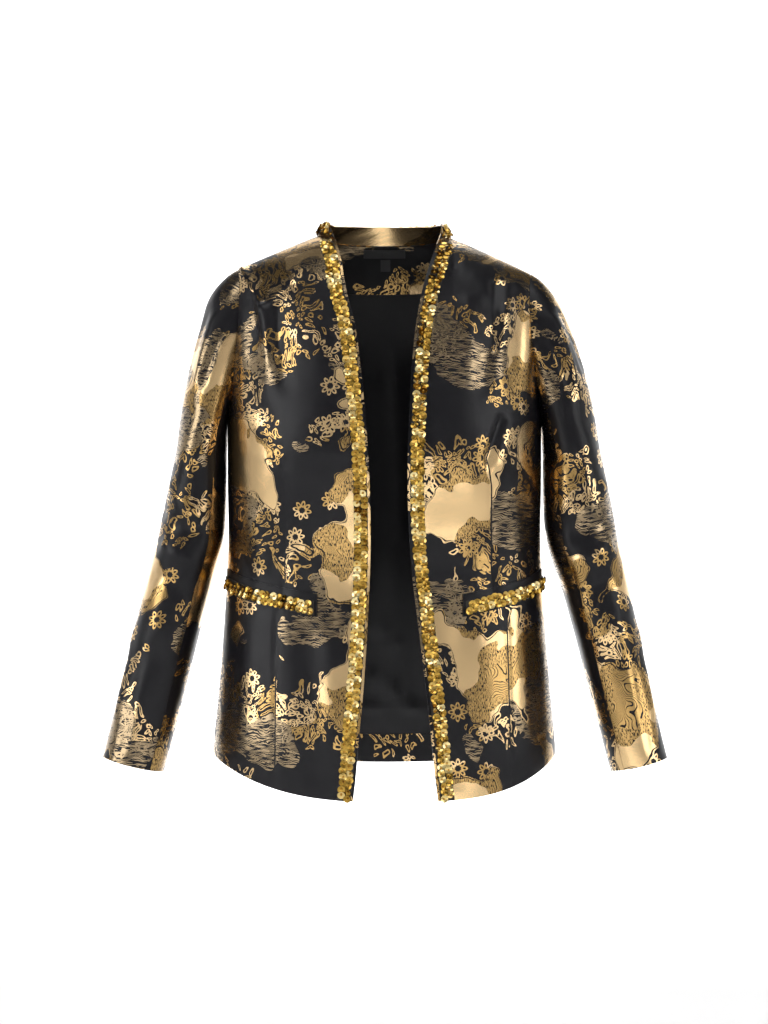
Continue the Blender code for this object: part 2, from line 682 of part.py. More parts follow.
# Collar and its trim: the neck seam runs from the right front round the back to the left front
base = np.concatenate([neck_seam["right"], back_neck_seam[1:-1], neck_seam["left"][::-1]])
points = collar_points(base)
normals = grid_normals(points, NECK_MIDDLE)
collar = drawn_in(points, 2 * SEAM_GAP)
wall("collar", collar, collar - normals * COLLAR_CLOTH, brocade("collar_brocade"))
strip = slice(1, 3), slice(1, -1)
laid_out("trim_collar", points[strip], normals[strip], LAY_GAP, TRIM_CLOTH, gold_tape("trim_collar_tape"))

# Sleeves, set into the armholes. The ring runs from the shoulder down the front and up the back.
for side in SIDES:
    armhole = np.concatenate([armhole_front[side][::-1], armhole_back[side][1:-1]])
    if side == "right":
        armhole = mirrored(armhole)
    points, normals = sleeve_grid(armhole, side)
    build_sleeve(side, points, normals)

# Pocket welts, with their trim on the lower part
for side in SIDES:
    points, normals = welt_grid(side, front_points[side])
    laid_out(f"welt_{side}", points, normals, WELT_GAP, WELT_CLOTH, brocade(f"welt_{side}_brocade"))
    start = WELT_GAP + WELT_CLOTH + LAY_GAP
    strip = slice(1, 3), slice(1, -1)
    tape = gold_tape(f"trim_pocket_{side}_tape")
    laid_out(f"trim_pocket_{side}", points[strip], normals[strip], start, TRIM_CLOTH, tape)

# Neck label and size tab, on the neck facing
start = facing_start + LINING_CLOTH + LABEL_GAP
back_patch("label", LABEL_ACROSS, LABEL_LEVELS, back_points, start, satin("label_satin"))
back_patch("size_tab", TAB_ACROSS, TAB_LEVELS, back_points, start, satin("size_tab_satin"))
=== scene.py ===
import bpy
import numpy as np
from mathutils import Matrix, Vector
from mathutils.bvhtree import BVHTree


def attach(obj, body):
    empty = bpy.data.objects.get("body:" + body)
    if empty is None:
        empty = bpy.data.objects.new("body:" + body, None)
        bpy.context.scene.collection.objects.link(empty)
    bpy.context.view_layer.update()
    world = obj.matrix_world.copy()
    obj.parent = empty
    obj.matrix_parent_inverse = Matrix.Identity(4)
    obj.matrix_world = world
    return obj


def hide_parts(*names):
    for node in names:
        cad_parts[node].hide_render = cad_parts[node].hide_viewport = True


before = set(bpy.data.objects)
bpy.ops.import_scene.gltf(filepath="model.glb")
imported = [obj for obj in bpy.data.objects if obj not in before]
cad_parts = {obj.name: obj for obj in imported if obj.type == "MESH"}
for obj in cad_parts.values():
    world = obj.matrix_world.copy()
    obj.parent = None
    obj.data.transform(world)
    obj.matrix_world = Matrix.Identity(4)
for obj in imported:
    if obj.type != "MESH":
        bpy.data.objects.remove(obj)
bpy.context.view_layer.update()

# Fronts. The two fronts are single panels of black and gold brocade, each with a long dart from the bust to
# the hem. They meet nowhere: the jacket is open, and the cloth curves from the side seam round to the front
# edge. The cloth is sewn to its lining and turned, so its edges are a little thick.


def table(columns, rows):
    """The rows of numbers as an array whose columns have these names."""
    return np.array(rows, dtype=[(name, "f8") for name in columns.split()])


SIDES = {"right": -1, "left": 1}
CLOTH = 0.0015
SEAM_GAP = 0.0004
OVAL_POWER = 2.3
BUST_LEVEL = -0.250
FRONT_CURL = 2.0
BACK_CURL = 2.5
BODY = table("level half_width front_depth back_depth", [
    (-0.640, 0.1962, 0.1300, 0.1230),
    (-0.574, 0.1954, 0.1280, 0.1220),
    (-0.529, 0.1912, 0.1240, 0.1180),
    (-0.483, 0.1872, 0.1180, 0.1100),
    (-0.437, 0.1836, 0.1110, 0.1000),
    (-0.388, 0.1806, 0.1065, 0.0940),
    (-0.340, 0.1790, 0.1095, 0.0960),
    (-0.290, 0.1798, 0.1180, 0.1030),
    (-0.250, 0.1800, 0.1220, 0.1080),
])
RIDGE = table("out level", [
    (0.000, 0.0220),
    (0.040, 0.0140),
    (0.078, 0.0004),
    (0.100, -0.0086),
    (0.128, -0.0208),
    (0.158, -0.0342),
    (0.168, -0.0390),
    (0.182, -0.0465),
])
SHOULDER_TILT = 0.015
HEM_FRONT_LEVEL = -0.6335
HEM_BACK_LEVEL = -0.615
HEM_SIDE_LEVEL = -0.590
HEM_POWER_RIGHT = 2.7
HEM_POWER_LEFT = 3.8
HEM_POWER_BACK = 2.5
FRONT_EDGE = table("level right left", [
    (-0.640, 0.0352, 0.0596),
    (-0.606, 0.0313, 0.0555),
    (-0.562, 0.0278, 0.0511),
    (-0.520, 0.0236, 0.0466),
    (-0.476, 0.0204, 0.0414),
    (-0.433, 0.0180, 0.0361),
    (-0.389, 0.0160, 0.0308),
    (-0.346, 0.0151, 0.0274),
    (-0.287, 0.0160, 0.0252),
    (-0.244, 0.0181, 0.0257),
    (-0.200, 0.0215, 0.0276),
    (-0.156, 0.0259, 0.0300),
    (-0.112, 0.0316, 0.0340),
    (-0.066, 0.0425, 0.0424),
    (-0.019, 0.0513, 0.0565),
    (0.012, 0.0625, 0.0690),
])
ARMHOLE = table("row out", [
    (1.11, 0.1800),
    (1.14, 0.1783),
    (1.19, 0.1755),
    (1.26, 0.1720),
    (1.35, 0.1690),
    (1.46, 0.1665),
    (1.62, 0.1650),
    (1.82, 0.1662),
    (2.00, 0.1680),
])
HEM_FACING_ROW = 0.095
UNDERARM_ROW = 1.11
COLLAR_ROW = 1.757
BODY_ROWS = [0.0, HEM_FACING_ROW, 0.20, 0.32, 0.44, 0.56, 0.67, 0.78, 0.89, 1.0]
ARM_ROWS = [UNDERARM_ROW, 1.17, 1.25, 1.35, 1.46, 1.57, 1.67, COLLAR_ROW]
FRONT_NECK_ROWS = [1.772, 1.846, 1.92, 2.0]
NECK_POINT_OUT = 0.078
NECK_DROP = 0.003
TRIM_INSET = 0.003
TRIM_WIDTH = 0.0155
FRONT_COLUMNS = 9
FINE = 7
EDGE_ROUNDS = 12
RIM_ANGLE = 50
TRUNK_MIDDLE = np.array([0.0, 0.0, -0.3])

# Soft folds of a front: two ends out from the middle and in level, width and how far it stands out. The
# first table holds for both fronts, and the others are the creases of each.
FOLD = "out_1 level_1 out_2 level_2 width stand"
FRONT_FOLDS = table(FOLD, [
    (0.095, -0.235, 0.105, -0.265, 0.050, 0.0070),
    (0.166, -0.055, 0.136, -0.092, 0.012, 0.0035),
    (0.104, -0.050, 0.133, -0.092, 0.011, 0.0030),
    (0.134, -0.092, 0.128, -0.165, 0.011, 0.0035),
    (0.116, -0.085, 0.110, -0.175, 0.010, -0.0030),
    (0.150, -0.110, 0.148, -0.175, 0.010, -0.0030),
    (0.118, -0.290, 0.118, -0.400, 0.012, -0.0025),
    (0.150, -0.440, 0.158, -0.580, 0.016, 0.0030),
    (0.085, -0.450, 0.078, -0.600, 0.016, -0.0025),
])
FRONT_CREASES = {
    "right": table(FOLD, [
        (0.166, -0.030, 0.139, -0.086, 0.0060, 0.0026),
        (0.106, -0.058, 0.136, -0.088, 0.0055, 0.0022),
        (0.137, -0.087, 0.130, -0.148, 0.0060, 0.0028),
        (0.150, -0.072, 0.142, -0.120, 0.0050, -0.0024),
        (0.122, -0.092, 0.119, -0.135, 0.0055, -0.0022),
        (0.162, -0.085, 0.158, -0.140, 0.0060, 0.0012),
        (0.150, -0.185, 0.128, -0.215, 0.0090, -0.0014),
        (0.160, -0.210, 0.120, -0.235, 0.0080, 0.0014),
        (0.060, -0.120, 0.052, -0.190, 0.0110, -0.0012),
        (0.036, -0.300, 0.034, -0.380, 0.0100, 0.0012),
        (0.150, -0.320, 0.135, -0.372, 0.0090, 0.0014),
        (0.166, -0.345, 0.150, -0.392, 0.0080, -0.0014),
        (0.060, -0.470, 0.052, -0.560, 0.0120, 0.0014),
        (0.170, -0.470, 0.176, -0.560, 0.0100, -0.0018),
    ]),
    "left": table(FOLD, [
        (0.080, -0.006, 0.078, -0.040, 0.0060, -0.0030),
        (0.066, -0.036, 0.062, -0.060, 0.0100, 0.0020),
        (0.092, -0.082, 0.098, -0.130, 0.0090, 0.0016),
        (0.124, -0.058, 0.122, -0.130, 0.0060, -0.0028),
        (0.140, -0.060, 0.136, -0.118, 0.0080, 0.0024),
        (0.158, -0.080, 0.152, -0.150, 0.0060, -0.0014),
        (0.131, -0.212, 0.115, -0.258, 0.0048, -0.0034),
        (0.142, -0.215, 0.128, -0.262, 0.0080, 0.0018),
        (0.044, -0.150, 0.050, -0.230, 0.0120, -0.0014),
        (0.140, -0.300, 0.150, -0.372, 0.0100, 0.0014),
        (0.160, -0.310, 0.168, -0.380, 0.0080, -0.0012),
        (0.070, -0.300, 0.062, -0.395, 0.0140, -0.0012),
        (0.082, -0.480, 0.090, -0.600, 0.0130, 0.0014),
        (0.166, -0.460, 0.176, -0.560, 0.0100, -0.0018),
    ]),
}

# Each dart's line from the bust to the hem, out from the middle at a level
DART = {
    "right": table("level out", [(-0.640, 0.1218), (-0.430, 0.1208), (-0.405, 0.1113), (-0.2575, 0.1113)]),
    "left": table("level out", [
        (-0.640, 0.1418),
        (-0.430, 0.1372),
        (-0.405, 0.1197),
        (-0.287, 0.1194),
        (-0.2563, 0.1147),
        (-0.2139, 0.1307),
    ]),
}
DART_TROUGH = 0.0011
DART_TROUGH_WIDTH = 0.0035
DART_TAKEN = 0.016
DART_TAPER = 0.15

# Sizes of the brocade's figures. A hatched line stands a pitch from the next, a petal's middle stands out from
# the flower's heart, and the other lengths are half ones.
HATCH_PITCH = 0.0020
PETALS = 8
PETAL_OUT = 0.0072
PETAL_LONG = 0.0040
PETAL_WIDE = 0.0025
LEAF_LONG = 0.0042
LEAF_WIDE = 0.0021


def through(xs, ys, at):
    """A smooth curve through the table's points: cubic steps, with slopes from the neighbouring points."""
    slopes = np.gradient(ys, xs)
    at = np.clip(at, xs[0], xs[-1])
    i = np.clip(np.searchsorted(xs, at, side="right") - 1, 0, len(xs) - 2)
    step = xs[i + 1] - xs[i]
    t = (at - xs[i]) / step
    start = ys[i] * (1 + 2 * t) * (1 - t) ** 2 + step * slopes[i] * t * (1 - t) ** 2
    end = ys[i + 1] * t**2 * (3 - 2 * t) + step * slopes[i + 1] * t**2 * (t - 1)
    return start + end


def body(column, level):
    """One column of the body table at these levels. Above the bust level it keeps its last value."""
    return through(BODY["level"], BODY[column], np.minimum(level, BUST_LEVEL))


def ridge(x):
    """Level of the shoulder ridge above the point x. Its mirrored first step keeps it level at the middle."""
    out = np.concatenate([-RIDGE["out"][1:2], RIDGE["out"]])
    level = np.concatenate([RIDGE["level"][1:2], RIDGE["level"]])
    return through(out, level, np.abs(x)) - SHOULDER_TILT * x


def swelling(folds, out, level):
    """Sum of the soft folds at a point: each falls off as a bell curve with the distance from its line."""
    total = np.zeros(np.broadcast(out, level).shape)
    for fold in folds:
        run = np.array([fold["out_2"] - fold["out_1"], fold["level_2"] - fold["level_1"]])
        share = ((out - fold["out_1"]) * run[0] + (level - fold["level_1"]) * run[1]) / (run @ run)
        share = np.clip(share, 0, 1)
        aside = out - fold["out_1"] - share * run[0]
        along = level - fold["level_1"] - share * run[1]
        total = total + fold["stand"] * np.exp(-(aside**2 + along**2) / fold["width"] ** 2)
    return total


def body_y(x, level, face):
    """The body form's y at (x, level): an oval across, which above the bust level curls back to y = 0 at the
    ridge, with the soft folds that the solids have."""
    across = np.clip(np.abs(x) / body("half_width", level), 0, 1)
    across = (1 - across**OVAL_POWER) ** (1 / OVAL_POWER)
    rise = np.clip((level - BUST_LEVEL) / (ridge(x) - BUST_LEVEL), 0, 1)
    curl = FRONT_CURL if face == "front" else BACK_CURL
    up = (1 - rise**curl) ** (1 / curl)
    if face == "front":
        return -(body("front_depth", level) + swelling(FRONT_FOLDS, np.abs(x), level)) * across * up
    return (body("back_depth", level) + swelling(BACK_FOLDS, x, level)) * across * up


def hem(x, face):
    """Level of the hem: flat at the middle and rising to the sides."""
    middle = HEM_FRONT_LEVEL if face == "front" else HEM_BACK_LEVEL
    power = np.where(x < 0, HEM_POWER_RIGHT, HEM_POWER_LEFT) if face == "front" else HEM_POWER_BACK
    share = np.clip(np.abs(x) / BODY["half_width"][0], 0, 1)
    return middle + (HEM_SIDE_LEVEL - middle) * share**power


def back_neck(x):
    """Level of the back's top edge: the neck curve between the neck points, and the ridge outside them."""
    share = np.clip(np.abs(x) / NECK_POINT_OUT, 0, 1)
    return np.minimum(ridge(x), -NECK_DROP * (1 - share**2))


def row_level(x, row, face):
    """Level of a grid row at x: even from the hem to the bust level, then closing up as a sine to the top."""
    low = hem(x, face)
    top = ridge(x) if face == "front" else back_neck(x)
    below = low + (BUST_LEVEL - low) * np.clip(row, 0, 1)
    above = BUST_LEVEL + (top - BUST_LEVEL) * np.sin(np.clip(row - 1, 0, 1) * np.pi / 2)
    return np.where(row <= 1, below, above)


def outer_reach(rows, face, side):
    """Distance out of a panel's outer edge: the side seam, then the armhole above the underarm."""
    seam = np.full(len(rows), BODY["half_width"][-1])
    for _ in range(EDGE_ROUNDS):
        seam = body("half_width", row_level(SIDES[side] * seam, rows, face))
    return np.where(rows > UNDERARM_ROW, through(ARMHOLE["row"], ARMHOLE["out"], rows), seam)


def front_reach(rows, side):
    """Distance out of a front's inner edge: the front edge, then the neck seam above the collar's end."""
    edge_rows = np.minimum(rows, COLLAR_ROW)
    edge = np.full(len(rows), FRONT_EDGE[side][-1])
    for _ in range(EDGE_ROUNDS):
        level = row_level(SIDES[side] * edge, edge_rows, "front")
        edge = through(FRONT_EDGE["level"], FRONT_EDGE[side], level)
    share = np.clip((rows - COLLAR_ROW) / (2 - COLLAR_ROW), 0, 1)
    return edge + (NECK_POINT_OUT - edge) * np.sin(share * np.pi / 2)


def oval_angle(x, half_width):
    """The angle on the oval that stands at the distance x."""
    return np.arcsin(np.clip(x / half_width, 0, 1) ** (OVAL_POWER / 2))


def oval_out(angle, half_width):
    """The distance x that stands at this angle on the oval."""
    return half_width * np.sin(angle) ** (2 / OVAL_POWER)


def finer(values, steps):
    """The list with each of its intervals divided into equal steps."""
    at = np.arange((len(values) - 1) * steps + 1) / steps
    return np.interp(at, np.arange(len(values)), values)


def faded(count):
    """Each row's share of a crease: all of it, but for the rows nearest the two ends."""
    row = np.arange(count)
    return np.clip(np.minimum(row, row[::-1]) / FINE, 0, 1)[:, None]


def unit(vectors):
    """The vectors at a length of one."""
    return vectors / np.linalg.norm(vectors, axis=-1, keepdims=True)


def grid_normals(points, centre, wrap=False):
    """Unit normals of a grid, pointing away from the centre. A wrapped grid's last column meets its first."""
    if wrap:
        across = np.roll(points, -1, axis=1) - np.roll(points, 1, axis=1)
    else:
        across = np.gradient(points, axis=1)
    normals = unit(np.cross(across, np.gradient(points, axis=0)))
    return normals * np.sign(np.sum(normals * (points - centre)))


def drawn_in(points, gap):
    """The grid with each of its four edges moved in by half the gap, along the grid's own lines."""
    points = points.copy()
    for axis in (0, 1):
        lines = np.moveaxis(points, axis, 0)
        for edge, inside in ((0, 1), (-1, -2)):
            lines[edge] += unit(lines[inside] - lines[edge]) * gap / 2
    return points


def kept_to(points, face):
    """The points kept on their own side of the plane of the side and shoulder seams."""
    bounds = (None, -SEAM_GAP / 2) if face == "front" else (SEAM_GAP / 2, None)
    x, y, z = np.moveaxis(points, -1, 0)
    return np.stack([x, np.clip(y, *bounds), z], axis=-1)


def laid_flat(points, from_middle=False):
    """The grid's flat places in metres: across is the distance along each row, from its start or its middle,
    and up is the distance along each column, from the level of its first point."""
    across = np.linalg.norm(np.diff(points, axis=1), axis=-1).cumsum(axis=1)
    across = np.concatenate([np.zeros((len(points), 1)), across], axis=1)
    if from_middle:
        across -= across[:, [points.shape[1] // 2]]
    up = np.linalg.norm(np.diff(points, axis=0), axis=-1).cumsum(axis=0)
    up = np.concatenate([np.zeros((1, points.shape[1])), up]) + points[0, :, 2]
    return np.stack([across, up], axis=-1)


def quad_faces(rows, columns, wrap=False):
    """Corners of the quads of a grid. A wrapped grid's last column meets its first."""
    index = np.arange(rows * columns).reshape(rows, columns)
    after = np.roll(index, -1, axis=1)
    quads = np.stack([index[:-1], after[:-1], after[1:], index[1:]], axis=-1)
    return (quads if wrap else quads[:, :-1]).reshape(-1, 4)


def made(name, points, faces, *materials):
    """A new object in the scene with these points, faces and materials, shaded smooth."""
    mesh = bpy.data.meshes.new(name)
    mesh.from_pydata(points.reshape(-1, 3).tolist(), [], faces)
    for material in materials:
        mesh.materials.append(material)
    mesh.shade_smooth()
    thing = bpy.data.objects.new(name, mesh)
    bpy.context.scene.collection.objects.link(thing)
    return thing


def cloth(name, top, under, flat, outside, inside, seam=None):
    """A closed sheet between two grids of points: its outer face, its inner face and a rim. Both faces carry
    the flat places as their UV map, and seam is each point's distance from the nearest sewn line."""
    rows, columns = top.shape[:2]
    size = rows * columns
    index = np.arange(size).reshape(rows, columns)
    quads = quad_faces(rows, columns)
    border = np.concatenate([index[0, :-1], index[:-1, -1], index[-1, :0:-1], index[:0:-1, 0]])
    after = np.roll(border, -1)
    rim = np.stack([border, border + size, after + size, after], axis=1)
    faces = np.concatenate([quads, quads[:, ::-1] + size, rim])
    points = np.concatenate([top.reshape(-1, 3), under.reshape(-1, 3)])
    a, b, c = (points[faces[:, k]] for k in range(3))
    if np.sum(a * np.cross(b, c)) < 0:
        faces = faces[:, ::-1]
    piece = made(name, points, faces.tolist(), outside, inside)
    mesh = piece.data
    uv = mesh.uv_layers.new(name="flat")
    places = np.concatenate([flat.reshape(-1, 2)] * 2)[faces.ravel()]
    uv.uv.foreach_set("vector", places.ravel().astype(np.float32))
    lines = mesh.attributes.new("seam", "FLOAT", "POINT")
    away = np.full(size, 1.0) if seam is None else seam.ravel()
    lines.data.foreach_set("value", np.tile(away, 2).astype(np.float32))
    slots = np.zeros(len(faces), np.int32)
    slots[len(quads) : 2 * len(quads)] = 1
    mesh.polygons.foreach_set("material_index", slots)
    mesh.set_sharp_from_angle(angle=np.radians(RIM_ANGLE))
    return piece


def sewn(piece, node, slot, flat, **held):
    """Parents one piece of cloth to the root and hides the solid that it stands for. The cut that flat gives
    is not used.
    """
    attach(piece, "root")
    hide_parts(node)
    return piece


def linear(code):
    """An sRGB colour such as #d9b36c as linear red, green, blue and alpha."""
    parts = np.array([int(code[i : i + 2], 16) for i in (1, 3, 5)]) / 255
    parts = np.where(parts <= 0.04045, parts / 12.92, ((parts + 0.055) / 1.055) ** 2.4)
    return (*parts.tolist(), 1.0)


def fill(tree, node, inputs):
    """Links an input to the socket that is given for it, or else sets it to its value."""
    for name, value in dict(inputs).items():
        if isinstance(value, bpy.types.NodeSocket):
            tree.links.new(value, node.inputs[name])
        else:
            node.inputs[name].default_value = value


def add(tree, kind, *inputs, out=0, **settings):
    """Adds a node of a kind, with its operation if it has one, its settings and its inputs, in order or as
    one dict by name. It gives back the output that is asked for."""
    kind, *operation = kind.split()
    node = tree.nodes.new("ShaderNode" + kind)
    if operation:
        node.operation = operation[0]
    for name, value in settings.items():
        setattr(node, name, value)
    fill(tree, node, inputs[0] if inputs and isinstance(inputs[0], dict) else dict(enumerate(inputs)))
    return node.outputs[out]


def surface(name):
    """A new material with a Principled shader: its node tree and the shader node."""
    material = bpy.data.materials.new(name)
    material.use_nodes = True
    tree = material.node_tree
    return material, tree, tree.nodes["Principled BSDF"]


def patches(tree, place, scale, detail, level, roughness=0.5):
    """Irregular patches: one where soft noise of this scale rises above the level, and zero elsewhere."""
    noise = {"Vector": place, "Scale": scale, "Detail": detail, "Roughness": roughness}
    noise = add(tree, "TexNoise", noise, noise_dimensions="2D")
    return add(tree, "Math GREATER_THAN", noise, level)


def yarns(tree, place, waves, detail=1.0):
    """Noise drawn out one way, as yarns are, with so many waves a metre across and up."""
    noise = add(tree, "VectorMath MULTIPLY", place, (*waves, 0.0))
    return add(tree, "TexNoise", {"Vector": noise, "Scale": 1.0, "Detail": detail}, noise_dimensions="2D")


def motifs(tree, place, scale, randomness):
    """Scattered motifs, one to a cell: the heart of each, the offset from it and a number by chance."""
    cell = {"Vector": place, "Scale": scale, "Randomness": randomness}
    cell = add(tree, "TexVoronoi", cell, voronoi_dimensions="2D").node.outputs
    chance = add(tree, "SeparateColor", cell["Color"])
    offset = add(tree, "VectorMath SUBTRACT", place, cell["Position"])
    return cell["Position"], offset, chance


def brocade(name, shift, bare_more=0.0):
    """Brocade: a black satin ground of fine polyester, with figures in flat gold lame that float on it. The
    gold is a metallised film yarn, so it mirrors the lights, and the satin gives a soft grey sheen. The shift
    moves the design on the cut, in metres, because each panel was cut from another place on the cloth. A
    higher bare_more leaves more of the ground without figures."""
    material, tree, shader = surface(name)
    place = add(tree, "UVMap", uv_map="flat")
    place = add(tree, "VectorMath ADD", place, (*shift, 0.0))

    # Outlines waver by up to a centimetre, as drawn ones do
    waver = {"Vector": place, "Scale": 22.0, "Detail": 2.0}
    waver = add(tree, "TexNoise", waver, out=1, noise_dimensions="2D")
    waver = add(tree, "VectorMath SUBTRACT", waver, (0.5, 0.5, 0.5))
    waver = add(tree, "VectorMath SCALE", {0: waver, "Scale": 0.040})
    drawn = add(tree, "VectorMath ADD", place, waver)

    # Gold patches, about 12 cm apart. The depth into a patch draws its rim, a dark line inside that, and the
    # contour lines of its grained stretches. Other stretches are flat or speckled.
    patch = add(tree, "TexNoise", {"Vector": drawn, "Scale": 8.0, "Detail": 2.0}, noise_dimensions="2D")
    depth = add(tree, "Math SUBTRACT", patch, 0.552 + bare_more)
    inside = add(tree, "Math GREATER_THAN", depth, 0.0)
    contour = add(tree, "Math MULTIPLY", depth, 95.0)
    contour = add(tree, "Math FRACT", contour)
    contour = add(tree, "Math GREATER_THAN", contour, 0.24)
    zone = add(tree, "TexNoise", {"Vector": drawn, "Scale": 13.0, "Detail": 1.5}, noise_dimensions="2D")
    grained = add(tree, "Math GREATER_THAN", zone, 0.64)
    speck = add(tree, "Math GREATER_THAN", yarns(tree, place, (1000.0, 260.0)), 0.43)
    speckled = add(tree, "MapRange", {"Value": zone, "From Min": 0.500, "From Max": 0.502})
    filling = add(tree, "Mix", {"Factor": speckled, 2: 1.0, 3: speck})
    filling = add(tree, "Mix", {"Factor": grained, 2: filling, 3: contour})
    dark_line = add(tree, "Math COMPARE", depth, 0.0075, 0.0026)
    filling = add(tree, "Mix", {"Factor": dark_line, 2: filling, 3: 0.0})
    gold_patch = add(tree, "Math MULTIPLY", filling, inside)

    # Hatched patches: wavy weft lines, broken here and there, drawn far enough apart to show
    second = add(tree, "VectorMath ADD", drawn, (3.7, 5.1, 0.0))
    hatched = patches(tree, second, 10.0, 1.0, 0.595 + bare_more, roughness=0.4)
    sway = add(tree, "TexNoise", {"Vector": place, "Scale": 42.0, "Detail": 2.0}, noise_dimensions="2D")
    axes = add(tree, "SeparateXYZ", place, out=1)
    line = add(tree, "Math MULTIPLY_ADD", sway, 0.016, axes)
    line = add(tree, "Math MULTIPLY", line, 2 * np.pi / HATCH_PITCH)
    line = add(tree, "Math SINE", line)
    ragged = yarns(tree, place, (80.0, 420.0), 0.0)
    line = add(tree, "Math MULTIPLY_ADD", ragged, 4.5, line)
    line = add(tree, "Math GREATER_THAN", line, 2.35)
    hatching = add(tree, "Math MULTIPLY", hatched, line)

    # Flowers of eight petals, 2.2 cm across, in drifts
    heart, local, chance = motifs(tree, place, 30.0, 0.7)
    away = add(tree, "VectorMath LENGTH", local, out="Value")
    axes = add(tree, "SeparateXYZ", local)
    angle = add(tree, "Math ARCTAN2", axes.node.outputs[1], axes)
    angle = add(tree, "Math MULTIPLY_ADD", angle, PETALS / (2 * np.pi), chance)
    angle = add(tree, "Math FRACT", angle)
    angle = add(tree, "Math SUBTRACT", angle, 0.5)
    sideways = add(tree, "Math MULTIPLY", angle, away)
    sideways = add(tree, "Math MULTIPLY", sideways, 2 * np.pi / PETALS / PETAL_WIDE)
    outward = add(tree, "Math MULTIPLY_ADD", away, 1 / PETAL_LONG, -PETAL_OUT / PETAL_LONG)
    petal = add(tree, "CombineXYZ", sideways, outward)
    petal = add(tree, "VectorMath LENGTH", petal, out="Value")
    petal = add(tree, "Math COMPARE", petal, 0.72, 0.28)
    drift = patches(tree, heart, 8.0, 0.0, 0.49 + bare_more)
    petals = add(tree, "Math MULTIPLY", petal, drift)
    figures = add(tree, "Math MAXIMUM", hatching, petals)

    # Clusters of small outlined leaves 8 mm long, in two layers that overlap
    for scale, level, offset in ((118.0, 0.575, 8.3), (131.0, 0.585, 8.33)):
        moved = add(tree, "VectorMath ADD", drawn, (offset, 1.9, 0.0))
        heart, local, turn = motifs(tree, moved, scale, 0.9)
        turn = add(tree, "Math MULTIPLY", turn, np.pi)
        local = add(tree, "VectorRotate", {"Vector": local, "Angle": turn}, rotation_type="Z_AXIS")
        local = add(tree, "VectorMath MULTIPLY", local, (1 / LEAF_LONG, 1 / LEAF_WIDE, 0.0))
        away = add(tree, "VectorMath LENGTH", local, out="Value")
        away = add(tree, "Math COMPARE", away, 0.75, 0.27)
        cluster = patches(tree, heart, 12.0, 1.0, level + bare_more)
        leaves = add(tree, "Math MULTIPLY", away, cluster)
        figures = add(tree, "Math MAXIMUM", figures, leaves)

    bare = add(tree, "Math SUBTRACT", 1.0, inside)
    figures = add(tree, "Math MULTIPLY", figures, bare)
    gold = add(tree, "Math MAXIMUM", gold_patch, figures)

    # Painted shade along the sewing lines and darts: within 0.8 mm of a sewn line the gold is taken out and
    # only the black ground shows, standing for the shade where the cloth sinks
    seam_shade_line = add(tree, "Attribute", attribute_name="seam", out="Fac")
    seam_shade_line = add(tree, "Math COMPARE", seam_shade_line, 0.0, 0.0008)
    loose = add(tree, "Math SUBTRACT", 1.0, seam_shade_line)
    gold = add(tree, "Math MULTIPLY", gold, loose)

    # Colour: pale gold where the yarn lies flat, deeper where it is bound down and greyer in the hatched
    # patches, over the black ground
    tone = {"Factor": speckled, 6: linear("#d2b384"), 7: linear("#ab8b57")}
    tone = add(tree, "Mix", tone, out=2, data_type="RGBA")
    grey = add(tree, "Math MULTIPLY", hatched, bare)
    tone = add(tree, "Mix", {"Factor": grey, 6: tone, 7: linear("#8f7d62")}, out=2, data_type="RGBA")
    colour = add(tree, "Mix", {"Factor": gold, 6: linear("#0c0b0f"), 7: tone}, out=2, data_type="RGBA")
    rough = add(tree, "MapRange", {"Value": gold, "To Min": 0.38, "To Max": 0.26})

    # Relief in millimetres: the cloth ripples a little, and its yarns are crinkled and bound in ridges
    ripple = add(tree, "TexNoise", {"Vector": place, "Scale": 17.0, "Detail": 1.0}, noise_dimensions="2D")
    crinkle = add(tree, "TexNoise", {"Vector": place, "Scale": 90.0, "Detail": 3.0}, noise_dimensions="2D")
    thread = yarns(tree, place, (500.0, 1500.0))
    relief = add(tree, "Math MULTIPLY", ripple, 1.6)
    relief = add(tree, "Math MULTIPLY_ADD", crinkle, 0.20, relief)
    relief = add(tree, "Math MULTIPLY_ADD", thread, 0.05, relief)
    bump = add(tree, "Bump", {"Strength": 1.0, "Distance": 0.001, "Height": relief})

    fill(tree, shader, {"Base Color": colour, "Metallic": gold, "Roughness": rough, "Normal": bump})
    fill(tree, shader, {"Specular IOR Level": 0.21})
    return material


def lining_satin(name):
    """Lining: black polyester satin, thin and slippery. It gives a faint broad sheen and almost no colour."""
    material, tree, shader = surface(name)
    place = add(tree, "UVMap", uv_map="flat")
    thread = add(tree, "VectorMath MULTIPLY", place, (900.0, 90.0, 0.0))
    thread = add(tree, "TexNoise", {"Vector": thread, "Scale": 1.0, "Detail": 1.0})
    colour = {"Factor": thread, 6: linear("#08070b"), 7: linear("#100f14")}
    colour = add(tree, "Mix", colour, out=2, data_type="RGBA")
    bump = add(tree, "Bump", {"Strength": 0.1, "Distance": 0.0002, "Height": thread})
    fill(tree, shader, {"Base Color": colour, "Normal": bump, "Roughness": 0.48, "Specular IOR Level": 0.36})
    return material


